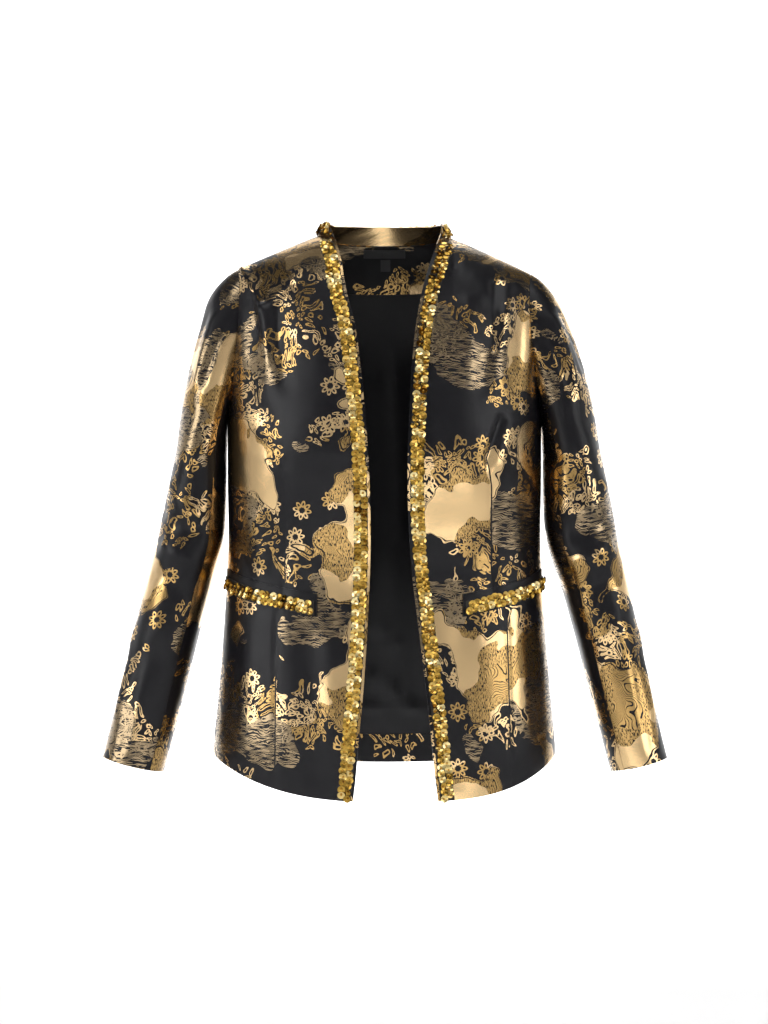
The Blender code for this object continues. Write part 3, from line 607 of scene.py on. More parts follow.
def front_grid(side):
    """Points of a front panel, rows from the hem up and columns from the front edge out. The first columns
    bound the trim, and the rest are at even angles of the oval."""
    rows = finer(BODY_ROWS + ARM_ROWS + FRONT_NECK_ROWS, FINE)
    inner = front_reach(rows, side)
    outer = outer_reach(rows, "front", side)
    width = body("half_width", row_level(SIDES[side] * inner, rows, "front"))
    start = inner + TRIM_INSET + TRIM_WIDTH
    shares = np.linspace(0, 1, FRONT_COLUMNS * FINE + 1)
    angles = oval_angle(start, width)[:, None]
    angles = angles + (oval_angle(outer, width)[:, None] - angles) * shares
    out = oval_out(angles, width[:, None])
    out[:, -1] = outer
    band = inner[:, None] + np.concatenate([[0], TRIM_INSET + TRIM_WIDTH * np.arange(3) / 3])
    out = np.concatenate([band, out], axis=1)
    x = SIDES[side] * out
    level = row_level(x, rows[:, None], "front")
    points = np.stack([x, body_y(x, level, "front"), level], axis=-1)
    return points, rows


front_points = {}
front_normals = {}
neck_seam = {}
lining = lining_satin("polyester_lining_satin")
FRONT_SHIFT = {"right": (0.31, 0.92), "left": (0.23, 2.67)}
for side, sign in SIDES.items():
    points, rows = front_grid(side)
    normals = grid_normals(points, TRUNK_MIDDLE)
    out, level = np.abs(points[..., 0]), points[..., 2]
    dart = DART[side]
    aside = out - np.interp(level, dart["level"], dart["out"])
    below = level < dart["level"][-1]
    depth = swelling(FRONT_CREASES[side], out, level)
    depth -= np.where(below, DART_TROUGH * np.exp(-((aside / DART_TROUGH_WIDTH) ** 2)), 0)
    points = points + normals * (depth * faded(len(rows)))[..., None]
    front_points[side] = points
    front_normals[side] = normals
    collar_row = int(np.argmin(np.abs(rows - COLLAR_ROW)))
    neck_seam[side] = points[collar_row:, 0]
    flat = laid_flat(points)
    flat[..., 0] += np.abs(points[:, :1, 0])
    taken = np.clip((dart["level"][-1] - level) / DART_TAPER, 0, 1) * DART_TAKEN
    flat[..., 0] += np.where(aside > 0, taken, 0)
    outside = kept_to(drawn_in(points, SEAM_GAP), "front")
    inside = kept_to(outside - normals * CLOTH, "front")
    seam = np.where(below, aside, 1.0)
    cut = flat.copy()
    flat[..., 0] *= sign
    shell = brocade(f"lame_brocade_front_{side}", FRONT_SHIFT[side])
    piece = cloth(f"front_{side}_cloth", outside, inside, flat, shell, lining, seam)
    sewn(piece, f"front_{side}", "brocade", cut)

# Back. One panel of the same brocade from side seam to side seam, which hollows gently along the spine and at
# the waist and stands out over the shoulder blades. Its inner face is covered by the lining and the facings.

BACK_NECK_ROWS = [1.846, 1.92, 2.0]
BACK_COLUMNS_NECK = 48
BACK_COLUMNS_SIDE = 36
NECK_SHARE = 1 / 3
BACK_FOLDS = table(FOLD, [
    (0.085, -0.120, 0.090, -0.170, 0.045, 0.0050),
    (-0.085, -0.120, -0.090, -0.170, 0.045, 0.0050),
    (0.000, -0.150, 0.000, -0.560, 0.035, -0.0060),
    (0.120, -0.300, 0.105, -0.420, 0.014, -0.0030),
    (-0.120, -0.310, -0.100, -0.430, 0.014, -0.0030),
    (0.110, -0.470, 0.120, -0.590, 0.020, 0.0035),
    (-0.105, -0.480, -0.120, -0.595, 0.020, 0.0035),
])
BACK_CREASES = table(FOLD, [
    (0.150, -0.130, 0.120, -0.165, 0.0080, 0.0029),
    (0.158, -0.155, 0.118, -0.190, 0.0070, -0.0016),
    (-0.148, -0.128, -0.112, -0.172, 0.0080, 0.0029),
    (-0.156, -0.160, -0.124, -0.186, 0.0070, -0.0014),
    (0.060, -0.345, 0.140, -0.372, 0.0090, 0.0026),
    (0.050, -0.368, 0.125, -0.392, 0.0080, -0.0018),
    (-0.045, -0.352, -0.130, -0.380, 0.0090, 0.0026),
    (-0.065, -0.380, -0.140, -0.402, 0.0080, -0.0016),
    (0.030, -0.040, 0.055, -0.075, 0.0080, 0.0022),
    (-0.034, -0.042, -0.050, -0.080, 0.0080, 0.0022),
    (0.070, -0.450, 0.084, -0.580, 0.0130, -0.0018),
    (-0.064, -0.440, -0.080, -0.590, 0.0130, -0.0016),
    (0.012, -0.470, 0.020, -0.590, 0.0110, 0.0022),
    (0.150, -0.430, 0.160, -0.560, 0.0110, 0.0022),
    (-0.152, -0.450, -0.160, -0.560, 0.0110, 0.0019),
])


def back_grid():
    """Points of the back, rows from the hem up and columns from the wearer's right to left. A column passes
    through each neck point, so the columns between them are closer."""
    rows = finer(BODY_ROWS + ARM_ROWS + BACK_NECK_ROWS, FINE)
    outer = outer_reach(rows, "back", "left")
    width = body("half_width", row_level(outer, rows, "back"))
    neck = np.linspace(-NECK_SHARE, NECK_SHARE, BACK_COLUMNS_NECK + 1)
    side = np.linspace(NECK_SHARE, 1, BACK_COLUMNS_SIDE + 1)[1:]
    shares = np.concatenate([-side[::-1], neck, side])
    angles = oval_angle(outer, width)[:, None] * np.abs(shares)
    x = np.sign(shares) * oval_out(angles, width[:, None])
    x[:, 0] = -outer
    x[:, -1] = outer
    level = row_level(x, rows[:, None], "back")
    return np.stack([x, body_y(x, level, "back"), level], axis=-1), rows


points, rows = back_grid()
normals = grid_normals(points, TRUNK_MIDDLE)
stand = swelling(BACK_CREASES, points[..., 0], points[..., 2]) * faded(len(rows))
back_shape = points
back_points = points + normals * stand[..., None]
back_normals = normals
flat = laid_flat(back_points, from_middle=True)
outside = kept_to(drawn_in(back_points, SEAM_GAP), "back")
inside = kept_to(outside - normals * CLOTH, "back")
piece = cloth("back_cloth", outside, inside, flat, brocade("lame_brocade_back", (2.71, 0.53)), lining)
sewn(piece, "back", "brocade", flat)

# Lining and facings. Inside the back hangs a black satin lining, sewn at the top to a shaped neck facing of
# brocade and at the bottom to a brocade hem facing. They show through the open front.

LINING_START = 0.0019
LINING_CLOTH = 0.0010
LINING_THINNED = 0.0002
NECK_FACING_ROW = 1.57
LINING_CREASES = table(FOLD, [
    (-0.040, -0.420, 0.010, -0.470, 0.0100, 0.0030),
    (0.020, -0.440, -0.020, -0.500, 0.0090, -0.0026),
    (-0.020, -0.500, 0.030, -0.548, 0.0100, 0.0030),
    (0.034, -0.500, 0.012, -0.560, 0.0080, -0.0024),
    (-0.060, -0.548, 0.050, -0.552, 0.0060, 0.0026),
    (0.010, -0.150, 0.020, -0.330, 0.0140, 0.0020),
    (-0.024, -0.130, -0.020, -0.300, 0.0120, -0.0018),
    (0.044, -0.220, 0.036, -0.400, 0.0110, -0.0020),
])
hem_row = int(np.argmin(np.abs(rows - HEM_FACING_ROW)))
neck_row = int(np.argmin(np.abs(rows - NECK_FACING_ROW)))
hem_brocade = brocade("lame_brocade_hem_facing", (0.77, 1.31), 0.04)
neck_brocade = brocade("lame_brocade_neck_facing", (3.42, 0.61), -0.01)
inside_pieces = (
    ("hem_facing", slice(0, hem_row + 1), hem_brocade, "brocade"),
    ("back_lining", slice(hem_row, neck_row + 1), lining, "satin_lining"),
    ("neck_facing", slice(neck_row, None), neck_brocade, "brocade"),
)
for name, span, outer_material, slot in inside_pieces:
    base = drawn_in(back_shape[span], 2 * SEAM_GAP)
    across = back_normals[span]
    thick = np.full(base.shape[:2], LINING_CLOTH)
    if name == "back_lining":
        creases = swelling(LINING_CREASES, base[..., 0], base[..., 2]) * faded(len(base))
        thick += np.maximum(creases, -LINING_THINNED)
    near = kept_to(base - across * LINING_START, "back")
    far = kept_to(near - across * thick[..., None], "back")
    flat = laid_flat(base, from_middle=True)
    piece = cloth(f"{name}_cloth", far, near, flat, outer_material, lining)
    sewn(piece, name, slot, flat)

# Collar. A low stand cut in one band, sewn round the neck from front edge to front edge and folded over at
# its top, so brocade shows on both faces.

COLLAR_CLOTH = 0.0020
COLLAR_RISE = table("share out back up", [
    (0.00, 0.0080, 0.0235, 0.0212),
    (0.36, -0.0155, 0.0030, 0.0162),
    (0.65, -0.0110, -0.0060, 0.0196),
    (1.00, 0.0000, -0.0070, 0.0222),
])
COLLAR_ROWS = [0.0, 0.18, 0.92, 1.0]
COLLAR_FINE = 3
NECK_MIDDLE = np.array([0.0, 0.0, 0.0])
nape = back_shape[-1, BACK_COLUMNS_SIDE + 1 : -BACK_COLUMNS_SIDE - 1]
base = np.concatenate([neck_seam["right"], nape, neck_seam["left"][::-1]])
steps = np.linalg.norm(np.diff(base, axis=0), axis=1)
run = np.concatenate([[0], np.cumsum(steps)])
middle = run[-1] / 2
share = 1 - np.abs(run - middle) / middle
rise = np.stack(
    [
        through(COLLAR_RISE["share"], COLLAR_RISE["out"], share) * np.sign(run - middle),
        through(COLLAR_RISE["share"], COLLAR_RISE["back"], share),
        through(COLLAR_RISE["share"], COLLAR_RISE["up"], share),
    ],
    axis=1,
)
collar_points = base + finer(COLLAR_ROWS, COLLAR_FINE)[:, None, None] * rise
collar_normals = grid_normals(collar_points, NECK_MIDDLE)
flat = laid_flat(collar_points)
flat[..., 1] -= flat[0, :, 1]
outside = drawn_in(collar_points, 2 * SEAM_GAP)
shell = brocade("lame_brocade_collar", (1.9, 3.3), -0.12)
piece = cloth("collar_cloth", outside, outside - collar_normals * COLLAR_CLOTH, flat, shell, shell)
sewn(piece, "collar", "brocade", flat)

# Sleeves. Each is a top sleeve and an under sleeve, set into the armhole with a little ease, bent at the
# elbow and lined with satin. The head stands slightly proud of the shoulder, and soft breaks cross the arm.

SLEEVE_CLOTH = 0.0014
SLEEVE_POWER = 2.3
SLEEVE = table("level out_right half_width_right out_left half_width_left forward half_depth", [
    (-0.245, 0.2100, 0.0286, 0.2143, 0.0325, 0.000, 0.0600),
    (-0.275, 0.2130, 0.0315, 0.2178, 0.0358, 0.000, 0.0605),
    (-0.305, 0.2163, 0.0344, 0.2210, 0.0386, -0.001, 0.0600),
    (-0.340, 0.2208, 0.0374, 0.2254, 0.0404, -0.003, 0.0580),
    (-0.365, 0.2266, 0.0364, 0.2313, 0.0386, -0.004, 0.0562),
    (-0.392, 0.2336, 0.0363, 0.2393, 0.0372, -0.006, 0.0545),
    (-0.425, 0.2424, 0.0366, 0.2474, 0.0364, -0.009, 0.0522),
    (-0.460, 0.2510, 0.0367, 0.2560, 0.0356, -0.012, 0.0500),
    (-0.495, 0.2593, 0.0364, 0.2638, 0.0350, -0.015, 0.0480),
    (-0.532, 0.2684, 0.0364, 0.2725, 0.0340, -0.019, 0.0460),
    (-0.568, 0.2772, 0.0362, 0.2812, 0.0334, -0.022, 0.0445),
    (-0.604, 0.2862, 0.0356, 0.2900, 0.0330, -0.026, 0.0435),
])
SLEEVE_HEAD = {"right": 0.0045, "left": 0.0010}
SLEEVE_HEAD_LEVEL = -0.066
SLEEVE_HEAD_TALL = 0.026
SLEEVE_HEAD_WIDE = 60.0
CAP_SHARES = [0.0, 0.10, 0.22, 0.36, 0.52, 0.70, 0.86]
CAP_TOP_LEAD = (0.90, -0.43)
CAP_UNDER_LEAD = (0.25, -0.97)
CAP_FRONT_LEAD = 0.35
CAP_START_HANDLE = (0.024, 0.016)
CAP_END_HANDLE = (0.052, 0.045)
SLEEVE_SEAM_POINT = 8
CUFF_WAVE = 0.0015
ARM_FINE = 5
RING_FINE = 5
SLEEVE_FOLDS = table("level angle tall wide stand", [
    (-0.205, 55.0, 0.018, 26.0, -0.0030),
    (-0.245, 80.0, 0.014, 40.0, 0.0030),
    (-0.330, 100.0, 0.012, 50.0, -0.0030),
    (-0.365, 75.0, 0.014, 60.0, 0.0030),
    (-0.405, 110.0, 0.013, 45.0, -0.0025),
    (-0.480, 60.0, 0.016, 50.0, -0.0022),
    (-0.350, 260.0, 0.016, 60.0, -0.0030),
    (-0.400, 250.0, 0.016, 50.0, 0.0025),
])

# Creases of the sleeve cloth. Their places round the arm are metres of cloth from its outer side, forwards.
SLEEVE_CREASES = table(FOLD, [
    (0.030, -0.095, 0.046, -0.165, 0.0060, 0.0023),
    (0.050, -0.100, 0.060, -0.170, 0.0055, -0.0023),
    (0.014, -0.090, 0.018, -0.150, 0.0070, -0.0018),
    (0.030, -0.285, 0.085, -0.320, 0.0070, 0.0023),
    (0.020, -0.318, 0.088, -0.345, 0.0065, -0.0023),
    (0.045, -0.350, 0.100, -0.378, 0.0070, 0.0026),
    (0.035, -0.388, 0.090, -0.396, 0.0065, -0.0021),
    (0.060, -0.430, 0.095, -0.470, 0.0070, 0.0018),
    (0.015, -0.455, 0.030, -0.540, 0.0090, 0.0018),
    (0.050, -0.500, 0.060, -0.580, 0.0090, -0.0018),
    (-0.030, -0.100, -0.050, -0.170, 0.0065, 0.0023),
    (-0.020, -0.310, -0.080, -0.345, 0.0080, -0.0023),
    (-0.030, -0.350, -0.095, -0.372, 0.0080, 0.0023),
    (-0.050, -0.460, -0.060, -0.560, 0.0090, -0.0018),
])
SLEEVE_ROUND = 0.049
EASED_RINGS = 15


def armhole_edge(face, side):
    """Points of a panel's armhole edge from the underarm up to the shoulder, in the left side's frame."""
    rows = finer(ARM_ROWS + BACK_NECK_ROWS, ARM_FINE)
    x = SIDES[side] * outer_reach(rows, face, side)
    level = row_level(x, rows, face)
    return np.stack([np.abs(x), body_y(x, level, face), level], axis=1)


def sleeve_grid(armhole, side):
    """A sleeve's rings in the left side's frame. Each has a point for each armhole point, starting at the
    shoulder and running down the front. The cap runs from the armhole to the upper arm on one cubic curve for
    each point, which leaves the armhole outwards and arrives along the arm. Below it the rings are ovals
    square to the arm's line."""
    half = len(armhole) // 2
    closed = np.concatenate([armhole, armhole[:1]])
    run = np.concatenate([[0], np.cumsum(np.linalg.norm(np.diff(closed, axis=0), axis=1))])
    front = run[: half + 1] / run[half] * np.pi
    back = np.pi + (run[half:-1] - run[half]) / (run[-1] - run[half]) * np.pi
    angle = np.concatenate([front, back[1:]])

    level = finer(SLEEVE["level"], RING_FINE)
    column = {key: through(-SLEEVE["level"], SLEEVE[key], -level) for key in SLEEVE.dtype.names}
    centre = np.stack([column[f"out_{side}"], column["forward"], level], axis=1)
    axis = unit(np.gradient(centre, axis=0))
    aside = unit(np.stack([-axis[:, 2], np.zeros(len(axis)), axis[:, 0]], axis=1))
    forward = np.cross(aside, axis)
    forward *= -np.sign(forward[:, 1:2])
    turns = (np.cos(angle), np.sin(angle))
    round_out, round_fore = (np.sign(turn) * np.abs(turn) ** (2 / SLEEVE_POWER) for turn in turns)
    rings = (
        centre[:, None]
        + (column[f"half_width_{side}"][:, None] * round_out)[..., None] * aside[:, None]
        + (column["half_depth"][:, None] * round_fore)[..., None] * forward[:, None]
    )
    rings[-1, :, 2] += CUFF_WAVE * np.cos(2 * angle)

    top_lead = np.array([CAP_TOP_LEAD[0], 0, CAP_TOP_LEAD[1]])
    under_lead = np.array([CAP_UNDER_LEAD[0], 0, CAP_UNDER_LEAD[1]])
    upper = (1 + np.cos(angle))[:, None] / 2
    lead = top_lead * upper + under_lead * (1 - upper)
    lead[:, 1] -= CAP_FRONT_LEAD * np.sin(angle)
    lead = unit(lead)
    start = armhole + lead * SEAM_GAP
    first = start + lead * (CAP_START_HANDLE[0] + CAP_START_HANDLE[1] * np.cos(angle))[:, None]
    last = rings[0] - axis[0] * (CAP_END_HANDLE[0] + CAP_END_HANDLE[1] * np.cos(angle))[:, None]
    t = finer(CAP_SHARES + [1.0], RING_FINE)[:-1, None, None]
    cap = start * (1 - t) ** 3 + 3 * first * t * (1 - t) ** 2 + 3 * last * t**2 * (1 - t) + rings[0] * t**3
    points = np.concatenate([cap, rings])

    middles = np.mean(points, axis=1, keepdims=True)
    normals = grid_normals(points, middles, wrap=True)
    turn = (np.degrees(angle) + 180) % 360 - 180
    total = np.zeros(points.shape[:2])
    head = (SLEEVE_HEAD_LEVEL, 0.0, SLEEVE_HEAD_TALL, SLEEVE_HEAD_WIDE, SLEEVE_HEAD[side])
    for fold_level, fold_angle, tall, wide, stand in [head, *SLEEVE_FOLDS.tolist()]:
        off = (np.degrees(angle) - fold_angle + 180) % 360 - 180
        total += stand * np.exp(-(((points[..., 2] - fold_level) / tall) ** 2) - (off / wide) ** 2)
    total += swelling(SLEEVE_CREASES, np.radians(turn) * SLEEVE_ROUND, points[..., 2])
    ease = np.clip(np.arange(len(points)) / EASED_RINGS, 0, 1)[:, None]
    return points + normals * (total * ease)[..., None], normals


SLEEVE_SHIFT = {"right": (4.4, 1.7), "left": (5.2, 0.6)}
for side, sign in SIDES.items():
    armhole = np.concatenate([armhole_edge("front", side)[::-1], armhole_edge("back", side)[1:-1]])
    points, normals = sleeve_grid(armhole, side)
    turned = np.array([sign, 1.0, 1.0])
    points, normals = points * turned, normals * turned
    count = points.shape[1]
    seam_point = SLEEVE_SEAM_POINT * ARM_FINE
    under = np.arange(seam_point, count - seam_point + 1)
    upper = np.arange(count - seam_point, count + seam_point + 1) % count
    shell = brocade(f"lame_brocade_sleeve_{side}", SLEEVE_SHIFT[side])
    for name, columns in (("top_sleeve", upper), ("under_sleeve", under)):
        outside = points[:, columns].copy()
        outside[:, [0, -1]] += unit(outside[:, [1, -2]] - outside[:, [0, -1]]) * SEAM_GAP / 2
        flat = laid_flat(outside[::-1], from_middle=True)[::-1]
        cut = flat.copy()
        flat[..., 0] *= sign
        inside = outside - normals[:, columns] * SLEEVE_CLOTH
        piece = cloth(f"{name}_{side}_cloth", outside, inside, flat, shell, lining)
        sewn(piece, f"{name}_{side}", "brocade", cut)

# Pocket welts. A slanted strip of brocade lies on each front with its lower part under the sequins, and its
# upper edge is the dark lip of the pocket's mouth. That lip is partly painted shade: the welt is a real strip,
# but its brocade is left almost bare of gold so that black ground stands for the shade of the pocket's mouth.

WELT_CLOTH = 0.0014
WELT_GAP = 0.0009
WELT_INNER_OUT = {"right": 0.0745, "left": 0.0870}
WELT_OUTER_OUT = 0.1772
WELT_INNER_LEVEL = -0.4222
WELT_OUTER_LEVEL = -0.3952
WELT_BELOW = 0.0092
WELT_ABOVE = 0.0160
POCKET_TRIM_HALF = 0.0080
WELT_COLUMNS = 60
WELT_FINE = 3
BEHIND_POCKET = np.array([0.0, 0.3, -0.42])


def on_panel(points, x, z):
    """The places on a panel's faces that stand straight in line with these x and z, along y."""
    tree = BVHTree.FromPolygons(points.reshape(-1, 3).tolist(), quad_faces(*points.shape[:2]).tolist())
    side = np.sign(np.mean(points[..., 1]))
    found = [tree.ray_cast((px, side, pz), (0, -side, 0))[0] for px, pz in zip(x.ravel(), z.ravel())]
    return np.array(found).reshape(*x.shape, 3)


welt_points = {}
welt_normals = {}
for side, sign in SIDES.items():
    level = np.array([WELT_INNER_LEVEL, WELT_OUTER_LEVEL])
    width = body("half_width", level)
    reach = np.array([WELT_INNER_OUT[side], WELT_OUTER_OUT])
    share = np.linspace(0, 1, WELT_COLUMNS + 1)
    angle = np.linspace(*oval_angle(reach, width), WELT_COLUMNS + 1)
    out = oval_out(angle, width[0] + (width[1] - width[0]) * share)
    middle = level[0] + (level[1] - level[0]) * share
    heights = [-WELT_BELOW, -POCKET_TRIM_HALF, POCKET_TRIM_HALF, WELT_ABOVE]
    z = middle + finer(heights, WELT_FINE)[:, None]
    points = on_panel(front_points[side], sign * np.broadcast_to(out, z.shape), z)
    normals = grid_normals(points, BEHIND_POCKET)
    welt_points[side], welt_normals[side] = points, normals
    base = points + normals * WELT_GAP
    flat = laid_flat(base)
    # Painted shade: this welt's brocade is left almost bare, so its visible upper edge is black ground
    # standing for the shade of the pocket's mouth
    shell = brocade(f"satin_ground_painted_shade_welt_{side}", (0.4 + sign, 2.6), 0.4)
    piece = cloth(f"welt_{side}_cloth", base + normals * WELT_CLOTH, base, flat, shell, lining)
    sewn(piece, f"welt_{side}", "brocade", flat)

# Sequin trim. Cup sequins with a small bead in each are sewn by hand to a black tape, in staggered rows that
# overlap: two along the front edges and on the welts, three round the collar. Each tips its own way.

TRIM_CLOTH = 0.0014
LAY_GAP = 0.0004
SEQUIN_RADIUS = 0.0044
SEQUIN_STEP = 0.0069
SEQUIN_SIDES = 12
SEQUIN_RINGS = ((0.22, 0.00), (0.62, 0.07), (1.00, 0.22))
SEQUIN_TILT = 0.34
SEQUIN_LEAN = 0.16
SEQUIN_LIFT = 0.0010
SEQUIN_JITTER = 0.0009
ROW_LIFT = 0.0006
ROW_SPREAD = 0.06
ROW_START = 0.4
ROW_STAGGER = 0.5
BEAD_RADIUS = 0.0011
BEAD_LIFT = 0.0007
BEAD_SIDES = 6
BEAD_HEIGHTS = (-0.82, 0.0, 0.82)
BEAD_CAPS = np.array([(12, 13, 14, 15), (16, 17, 12, 15), (3, 2, 1, 0), (0, 5, 4, 3)])
TRIM_BAND = slice(1, 5)
draw = np.random.default_rng(11)


def tape_black(name):
    """Grosgrain tape: black polyester, dull, hidden but for its edges."""
    material, tree, shader = surface(name)
    place = add(tree, "UVMap", uv_map="flat")
    rib = add(tree, "TexWave", {"Vector": place, "Scale": 240.0, "Distortion": 0.5})
    bump = add(tree, "Bump", {"Strength": 0.2, "Distance": 0.0002, "Height": rib})
    fill(tree, shader, {"Base Color": linear("#1c170f"), "Normal": bump, "Roughness": 0.7})
    return material


def sequin_film(name):
    """Sequins: polyester film metallised in gold, pressed into cups. The film is a mirror with a fine haze,
    and the lacquer on it varies from pale gold to amber from one to the next."""
    material, tree, shader = surface(name)
    chance = add(tree, "Attribute", attribute_name="chance", out="Fac")
    tone = add(tree, "ValToRGB", {"Fac": chance})
    ramp = tone.node.color_ramp
    ramp.elements[0].color = linear("#86682a")
    ramp.elements[1].color = linear("#e6d49c")
    ramp.elements.new(0.55).color = linear("#b99648")
    fill(tree, shader, {"Base Color": tone, "Metallic": 1.0, "Roughness": 0.25})
    return material


def bead_glass(name):
    """Seed beads: silver-lined amber glass, small and round with a wet shine."""
    material, tree, shader = surface(name)
    fill(tree, shader, {"Base Color": linear("#c99a3f"), "Metallic": 0.6, "Roughness": 0.12})
    return material


def ringed(profile, sides):
    """Rings of points round the Z axis at each radius and height of the profile, and their quads."""
    turn = np.arange(sides) / sides * 2 * np.pi
    rings = [np.stack([r * np.cos(turn), r * np.sin(turn), np.full(sides, h)], axis=1) for r, h in profile]
    return np.concatenate(rings), quad_faces(len(profile), sides, wrap=True)


def cup():
    """One sequin of unit radius facing +Z: rings of points whose height grows towards the rim."""
    points, faces = ringed(SEQUIN_RINGS, SEQUIN_SIDES)
    return points, faces[:, ::-1]


def bead():
    """One bead of unit radius: rings at three heights, closed with two quads at either end."""
    points, sides = ringed([(np.sqrt(1 - height**2), height) for height in BEAD_HEIGHTS], BEAD_SIDES)
    return points, np.concatenate([sides, BEAD_CAPS])


def scattered(name, shape, places, turns, size, material, chance):
    """Copies of one shape as a single mesh: each has its own place and turning matrix."""
    points, faces = shape
    count = len(points)
    faces = faces + (np.arange(len(places)) * count)[:, None, None]
    points = np.einsum("nij,pj->npi", turns, points * size) + places[:, None]
    piece = made(name, points, faces.reshape(-1, 4).tolist(), material)
    tone = piece.data.attributes.new("chance", "FLOAT", "POINT")
    tone.data.foreach_set("value", np.repeat(chance, count).astype(np.float32))
    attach(piece, "root")
    return piece


def along(points, step, start, past):
    """Places along a line of points at an even step of its length, as fractions of the row number. They run
    on past the line's end by the given length."""
    run = np.concatenate([[0], np.cumsum(np.linalg.norm(np.diff(points, axis=0), axis=1))])
    wanted = np.arange(start, run[-1] + past, step)
    beyond = np.maximum(wanted - run[-1], 0) / (run[-1] - run[-2])
    return np.interp(wanted, run, np.arange(len(points))) + beyond


def at_row(values, where):
    """Values of a list of points at fractional row numbers."""
    low = np.clip(where.astype(int), 0, len(values) - 2)
    part = (where - low)[:, None]
    return values[low] * (1 - part) + values[low + 1] * part


def sequin_rows(name, one_edge, other_edge, normals, lift, shares, past):
    """Staggered rows of sequins with their beads at these shares of the way between the edges of a band."""
    places, turns = [], []
    middle = (one_edge + other_edge) / 2
    for row, share in enumerate(shares):
        odd = row % 2
        where = along(middle, SEQUIN_STEP, SEQUIN_STEP * (ROW_START + odd * ROW_STAGGER), past)
        a, b, n = (at_row(values, where) for values in (one_edge, other_edge, normals))
        n, aside = unit(n), unit(b - a)
        ahead = np.cross(n, aside)
        spread = share + draw.uniform(-ROW_SPREAD, ROW_SPREAD, len(where))
        tip = draw.uniform(-SEQUIN_TILT, SEQUIN_TILT, (len(where), 2))
        facing = unit(n + ahead * (SEQUIN_LEAN + tip[:, :1]) + aside * tip[:, 1:])
        side = unit(np.cross(ahead, facing))
        turns.append(np.stack([side, np.cross(facing, side), facing], axis=-1))
        jitter = ahead * draw.uniform(-SEQUIN_JITTER, SEQUIN_JITTER, (len(where), 1))
        raised = n * (lift + SEQUIN_LIFT + odd * ROW_LIFT)
        places.append(a + (b - a) * spread[:, None] + jitter + raised)
    places, turns = np.concatenate(places), np.concatenate(turns)
    chance = draw.uniform(0, 1, len(places))
    middles = places + turns[..., 2] * BEAD_LIFT
    return [
        scattered(f"{name}_sequins", cup(), places, turns, SEQUIN_RADIUS, film, chance),
        scattered(f"{name}_beads", bead(), middles, turns, BEAD_RADIUS, glass, chance),
    ]


film = sequin_film("metallised_polyester_film")
glass = bead_glass("silver_lined_glass")
tape = tape_black("grosgrain_tape")


def trim(name, points, normals, gap, shares=(0.27, 0.73), past=-0.002):
    """A tape laid on the points with its rows of sequins: the band between the first and last column."""
    points = drawn_in(points, SEAM_GAP)
    base = points + normals * gap
    flat = laid_flat(base)
    piece = cloth(f"{name}_tape", base + normals * TRIM_CLOTH, base, flat, tape, tape)
    middle = normals[:, normals.shape[1] // 2]
    loose = sequin_rows(name, points[:, 0], points[:, -1], middle, gap + TRIM_CLOTH, shares, past)
    sewn(piece, name, "sequin_trim", flat, with_pieces=loose)


for side in SIDES:
    strip = slice(0, collar_row + 1), TRIM_BAND
    trim(f"trim_front_{side}", front_points[side][strip], front_normals[side][strip], LAY_GAP, past=0.005)
    strip = slice(WELT_FINE, 2 * WELT_FINE + 1), slice(1, -1)
    swapped = welt_points[side][strip].swapaxes(0, 1), welt_normals[side][strip].swapaxes(0, 1)
    trim(f"trim_pocket_{side}", *swapped, WELT_GAP + WELT_CLOTH + LAY_GAP)
strip = slice(COLLAR_FINE, 2 * COLLAR_FINE + 1), slice(1, -1)
collar_band = collar_points[strip].swapaxes(0, 1), collar_normals[strip].swapaxes(0, 1)
trim("trim_collar", *collar_band, LAY_GAP, shares=(0.10, 0.45, 0.78))

# Neck label and size tab. Two bare black woven ribbons, sewn flat to the neck facing under the collar.

LABEL_CLOTH = 0.0006
LABEL_START = LINING_START + LINING_CLOTH + 0.0005
RIBBONS = {
    "label": ((-0.0248, 0.0248), (-0.0150, -0.0055)),
    "size_tab": ((-0.0045, 0.0070), (-0.0300, -0.0165)),
}
RIBBON_COLUMNS = 25
RIBBON_ROWS = 9
BEFORE_NECK = np.array([0.0, -0.3, -0.2])


def woven_ribbon(name):
    """Label ribbon: black damask polyester, close-woven and slightly shiny, with no lettering."""
    material, tree, shader = surface(name)
    place = add(tree, "UVMap", uv_map="flat")
    weave = add(tree, "TexNoise", {"Vector": place, "Scale": 1500.0, "Detail": 1.0})
    bump = add(tree, "Bump", {"Strength": 0.2, "Distance": 0.0002, "Height": weave})
    fill(tree, shader, {"Base Color": linear("#0d0d0f"), "Normal": bump, "Roughness": 0.45})
    return material


ribbon = woven_ribbon("damask_label_ribbon")
for name, (across, levels) in RIBBONS.items():
    x, z = np.meshgrid(np.linspace(*across, RIBBON_COLUMNS), np.linspace(*levels, RIBBON_ROWS))
    points = on_panel(back_shape, x, z)
    normals = grid_normals(points, BEFORE_NECK)
    near = kept_to(points - normals * LABEL_START, "back")
    far = kept_to(points - normals * (LABEL_START + LABEL_CLOTH), "back")
    flat = laid_flat(points)
    piece = cloth(f"{name}_ribbon", far, near, flat, ribbon, ribbon)
    sewn(piece, name, "label_ribbon", flat)

# Studio. The jacket hangs over a pale round floor whose wall curves up on every side. One lamp whitens the
# wall that the camera faces, and large soft lights stand at each side, overhead, behind and low in front.

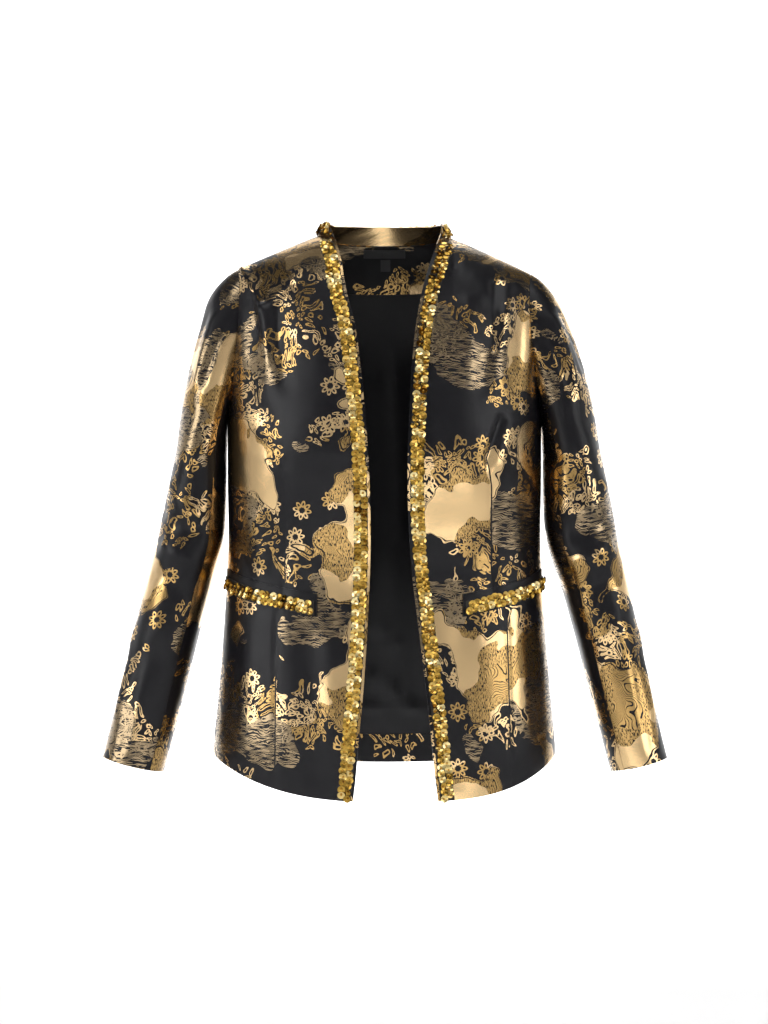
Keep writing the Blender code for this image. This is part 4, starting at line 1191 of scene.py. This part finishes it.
FLOOR_LEVEL = -1.05
FLOOR_SIDES = 64
FLOOR_HUB = 0.02
WALL_OUT = 6.5
WALL_TOP = 5.0
BEND = 2.0
BEND_STEPS = 12
profile = [(FLOOR_HUB, 0.0), (WALL_OUT / 2, 0.0)]
for angle in np.linspace(0, np.pi / 2, BEND_STEPS + 1):
    profile.append((WALL_OUT - BEND + BEND * np.sin(angle), BEND - BEND * np.cos(angle)))
points, faces = ringed([*profile, (WALL_OUT, WALL_TOP)], FLOOR_SIDES)
points[:, 2] += FLOOR_LEVEL
paint, tree, shader = surface("matt_white_paint")
fill(tree, shader, {"Base Color": linear("#f6f6f6"), "Roughness": 0.9})
floor = made("floor", points, [*faces.tolist(), list(range(FLOOR_SIDES))], paint)

world = bpy.data.worlds.new("studio")
world.use_nodes = True
tree = world.node_tree
fill(tree, tree.nodes["Background"], {"Color": (1.0, 1.0, 1.0, 1.0), "Strength": 0.12})
bpy.context.scene.world = world

JACKET_MIDDLE = (0.0, 0.0, -0.3)
LIGHTS = (
    ("key", (-2.2, -1.3, 0.45), (1.6, 2.0), 36.0, JACKET_MIDDLE),
    ("fill", (2.3, -1.2, 0.4), (1.4, 1.8), 22.0, JACKET_MIDDLE),
    ("top", (0.2, -1.0, 2.4), (2.4, 1.4), 36.0, JACKET_MIDDLE),
    ("low", (0.0, -1.6, -0.72), (2.6, 0.3), 5.0, JACKET_MIDDLE),
    ("rear", (0.0, 2.4, 2.6), (2.4, 1.4), 40.0, JACKET_MIDDLE),
    ("wall", (0.0, 2.2, 1.6), (3.0, 2.0), 420.0, (0.0, WALL_OUT, -0.4)),
)
for name, place, size, power, target in LIGHTS:
    light = bpy.data.lights.new(name, "AREA")
    light.shape = "RECTANGLE"
    light.size, light.size_y = size
    light.energy = power
    lamp = bpy.data.objects.new(name, light)
    lamp.location = place
    lamp.rotation_euler = (Vector(target) - Vector(place)).to_track_quat("-Z", "Y").to_euler()
    lamp.visible_camera = False
    bpy.context.scene.collection.objects.link(lamp)

CAMERA_DISTANCE = 2.8
CAMERA_LEVEL = -0.3151
CAMERA_ASIDE = -0.0005
FRAME_HEIGHT = 1024 * 0.00115
SENSOR_WIDTH = 36.0
camera = bpy.data.cameras.new("camera")
camera.sensor_width = SENSOR_WIDTH
camera.lens = SENSOR_WIDTH * CAMERA_DISTANCE / FRAME_HEIGHT
holder = bpy.data.objects.new("camera", camera)
holder.location = (CAMERA_ASIDE, -CAMERA_DISTANCE, CAMERA_LEVEL)
holder.rotation_euler = (np.pi / 2, 0.0, 0.0)
bpy.context.scene.collection.objects.link(holder)
bpy.context.scene.camera = holder
bpy.context.scene.view_settings.view_transform = "Standard"
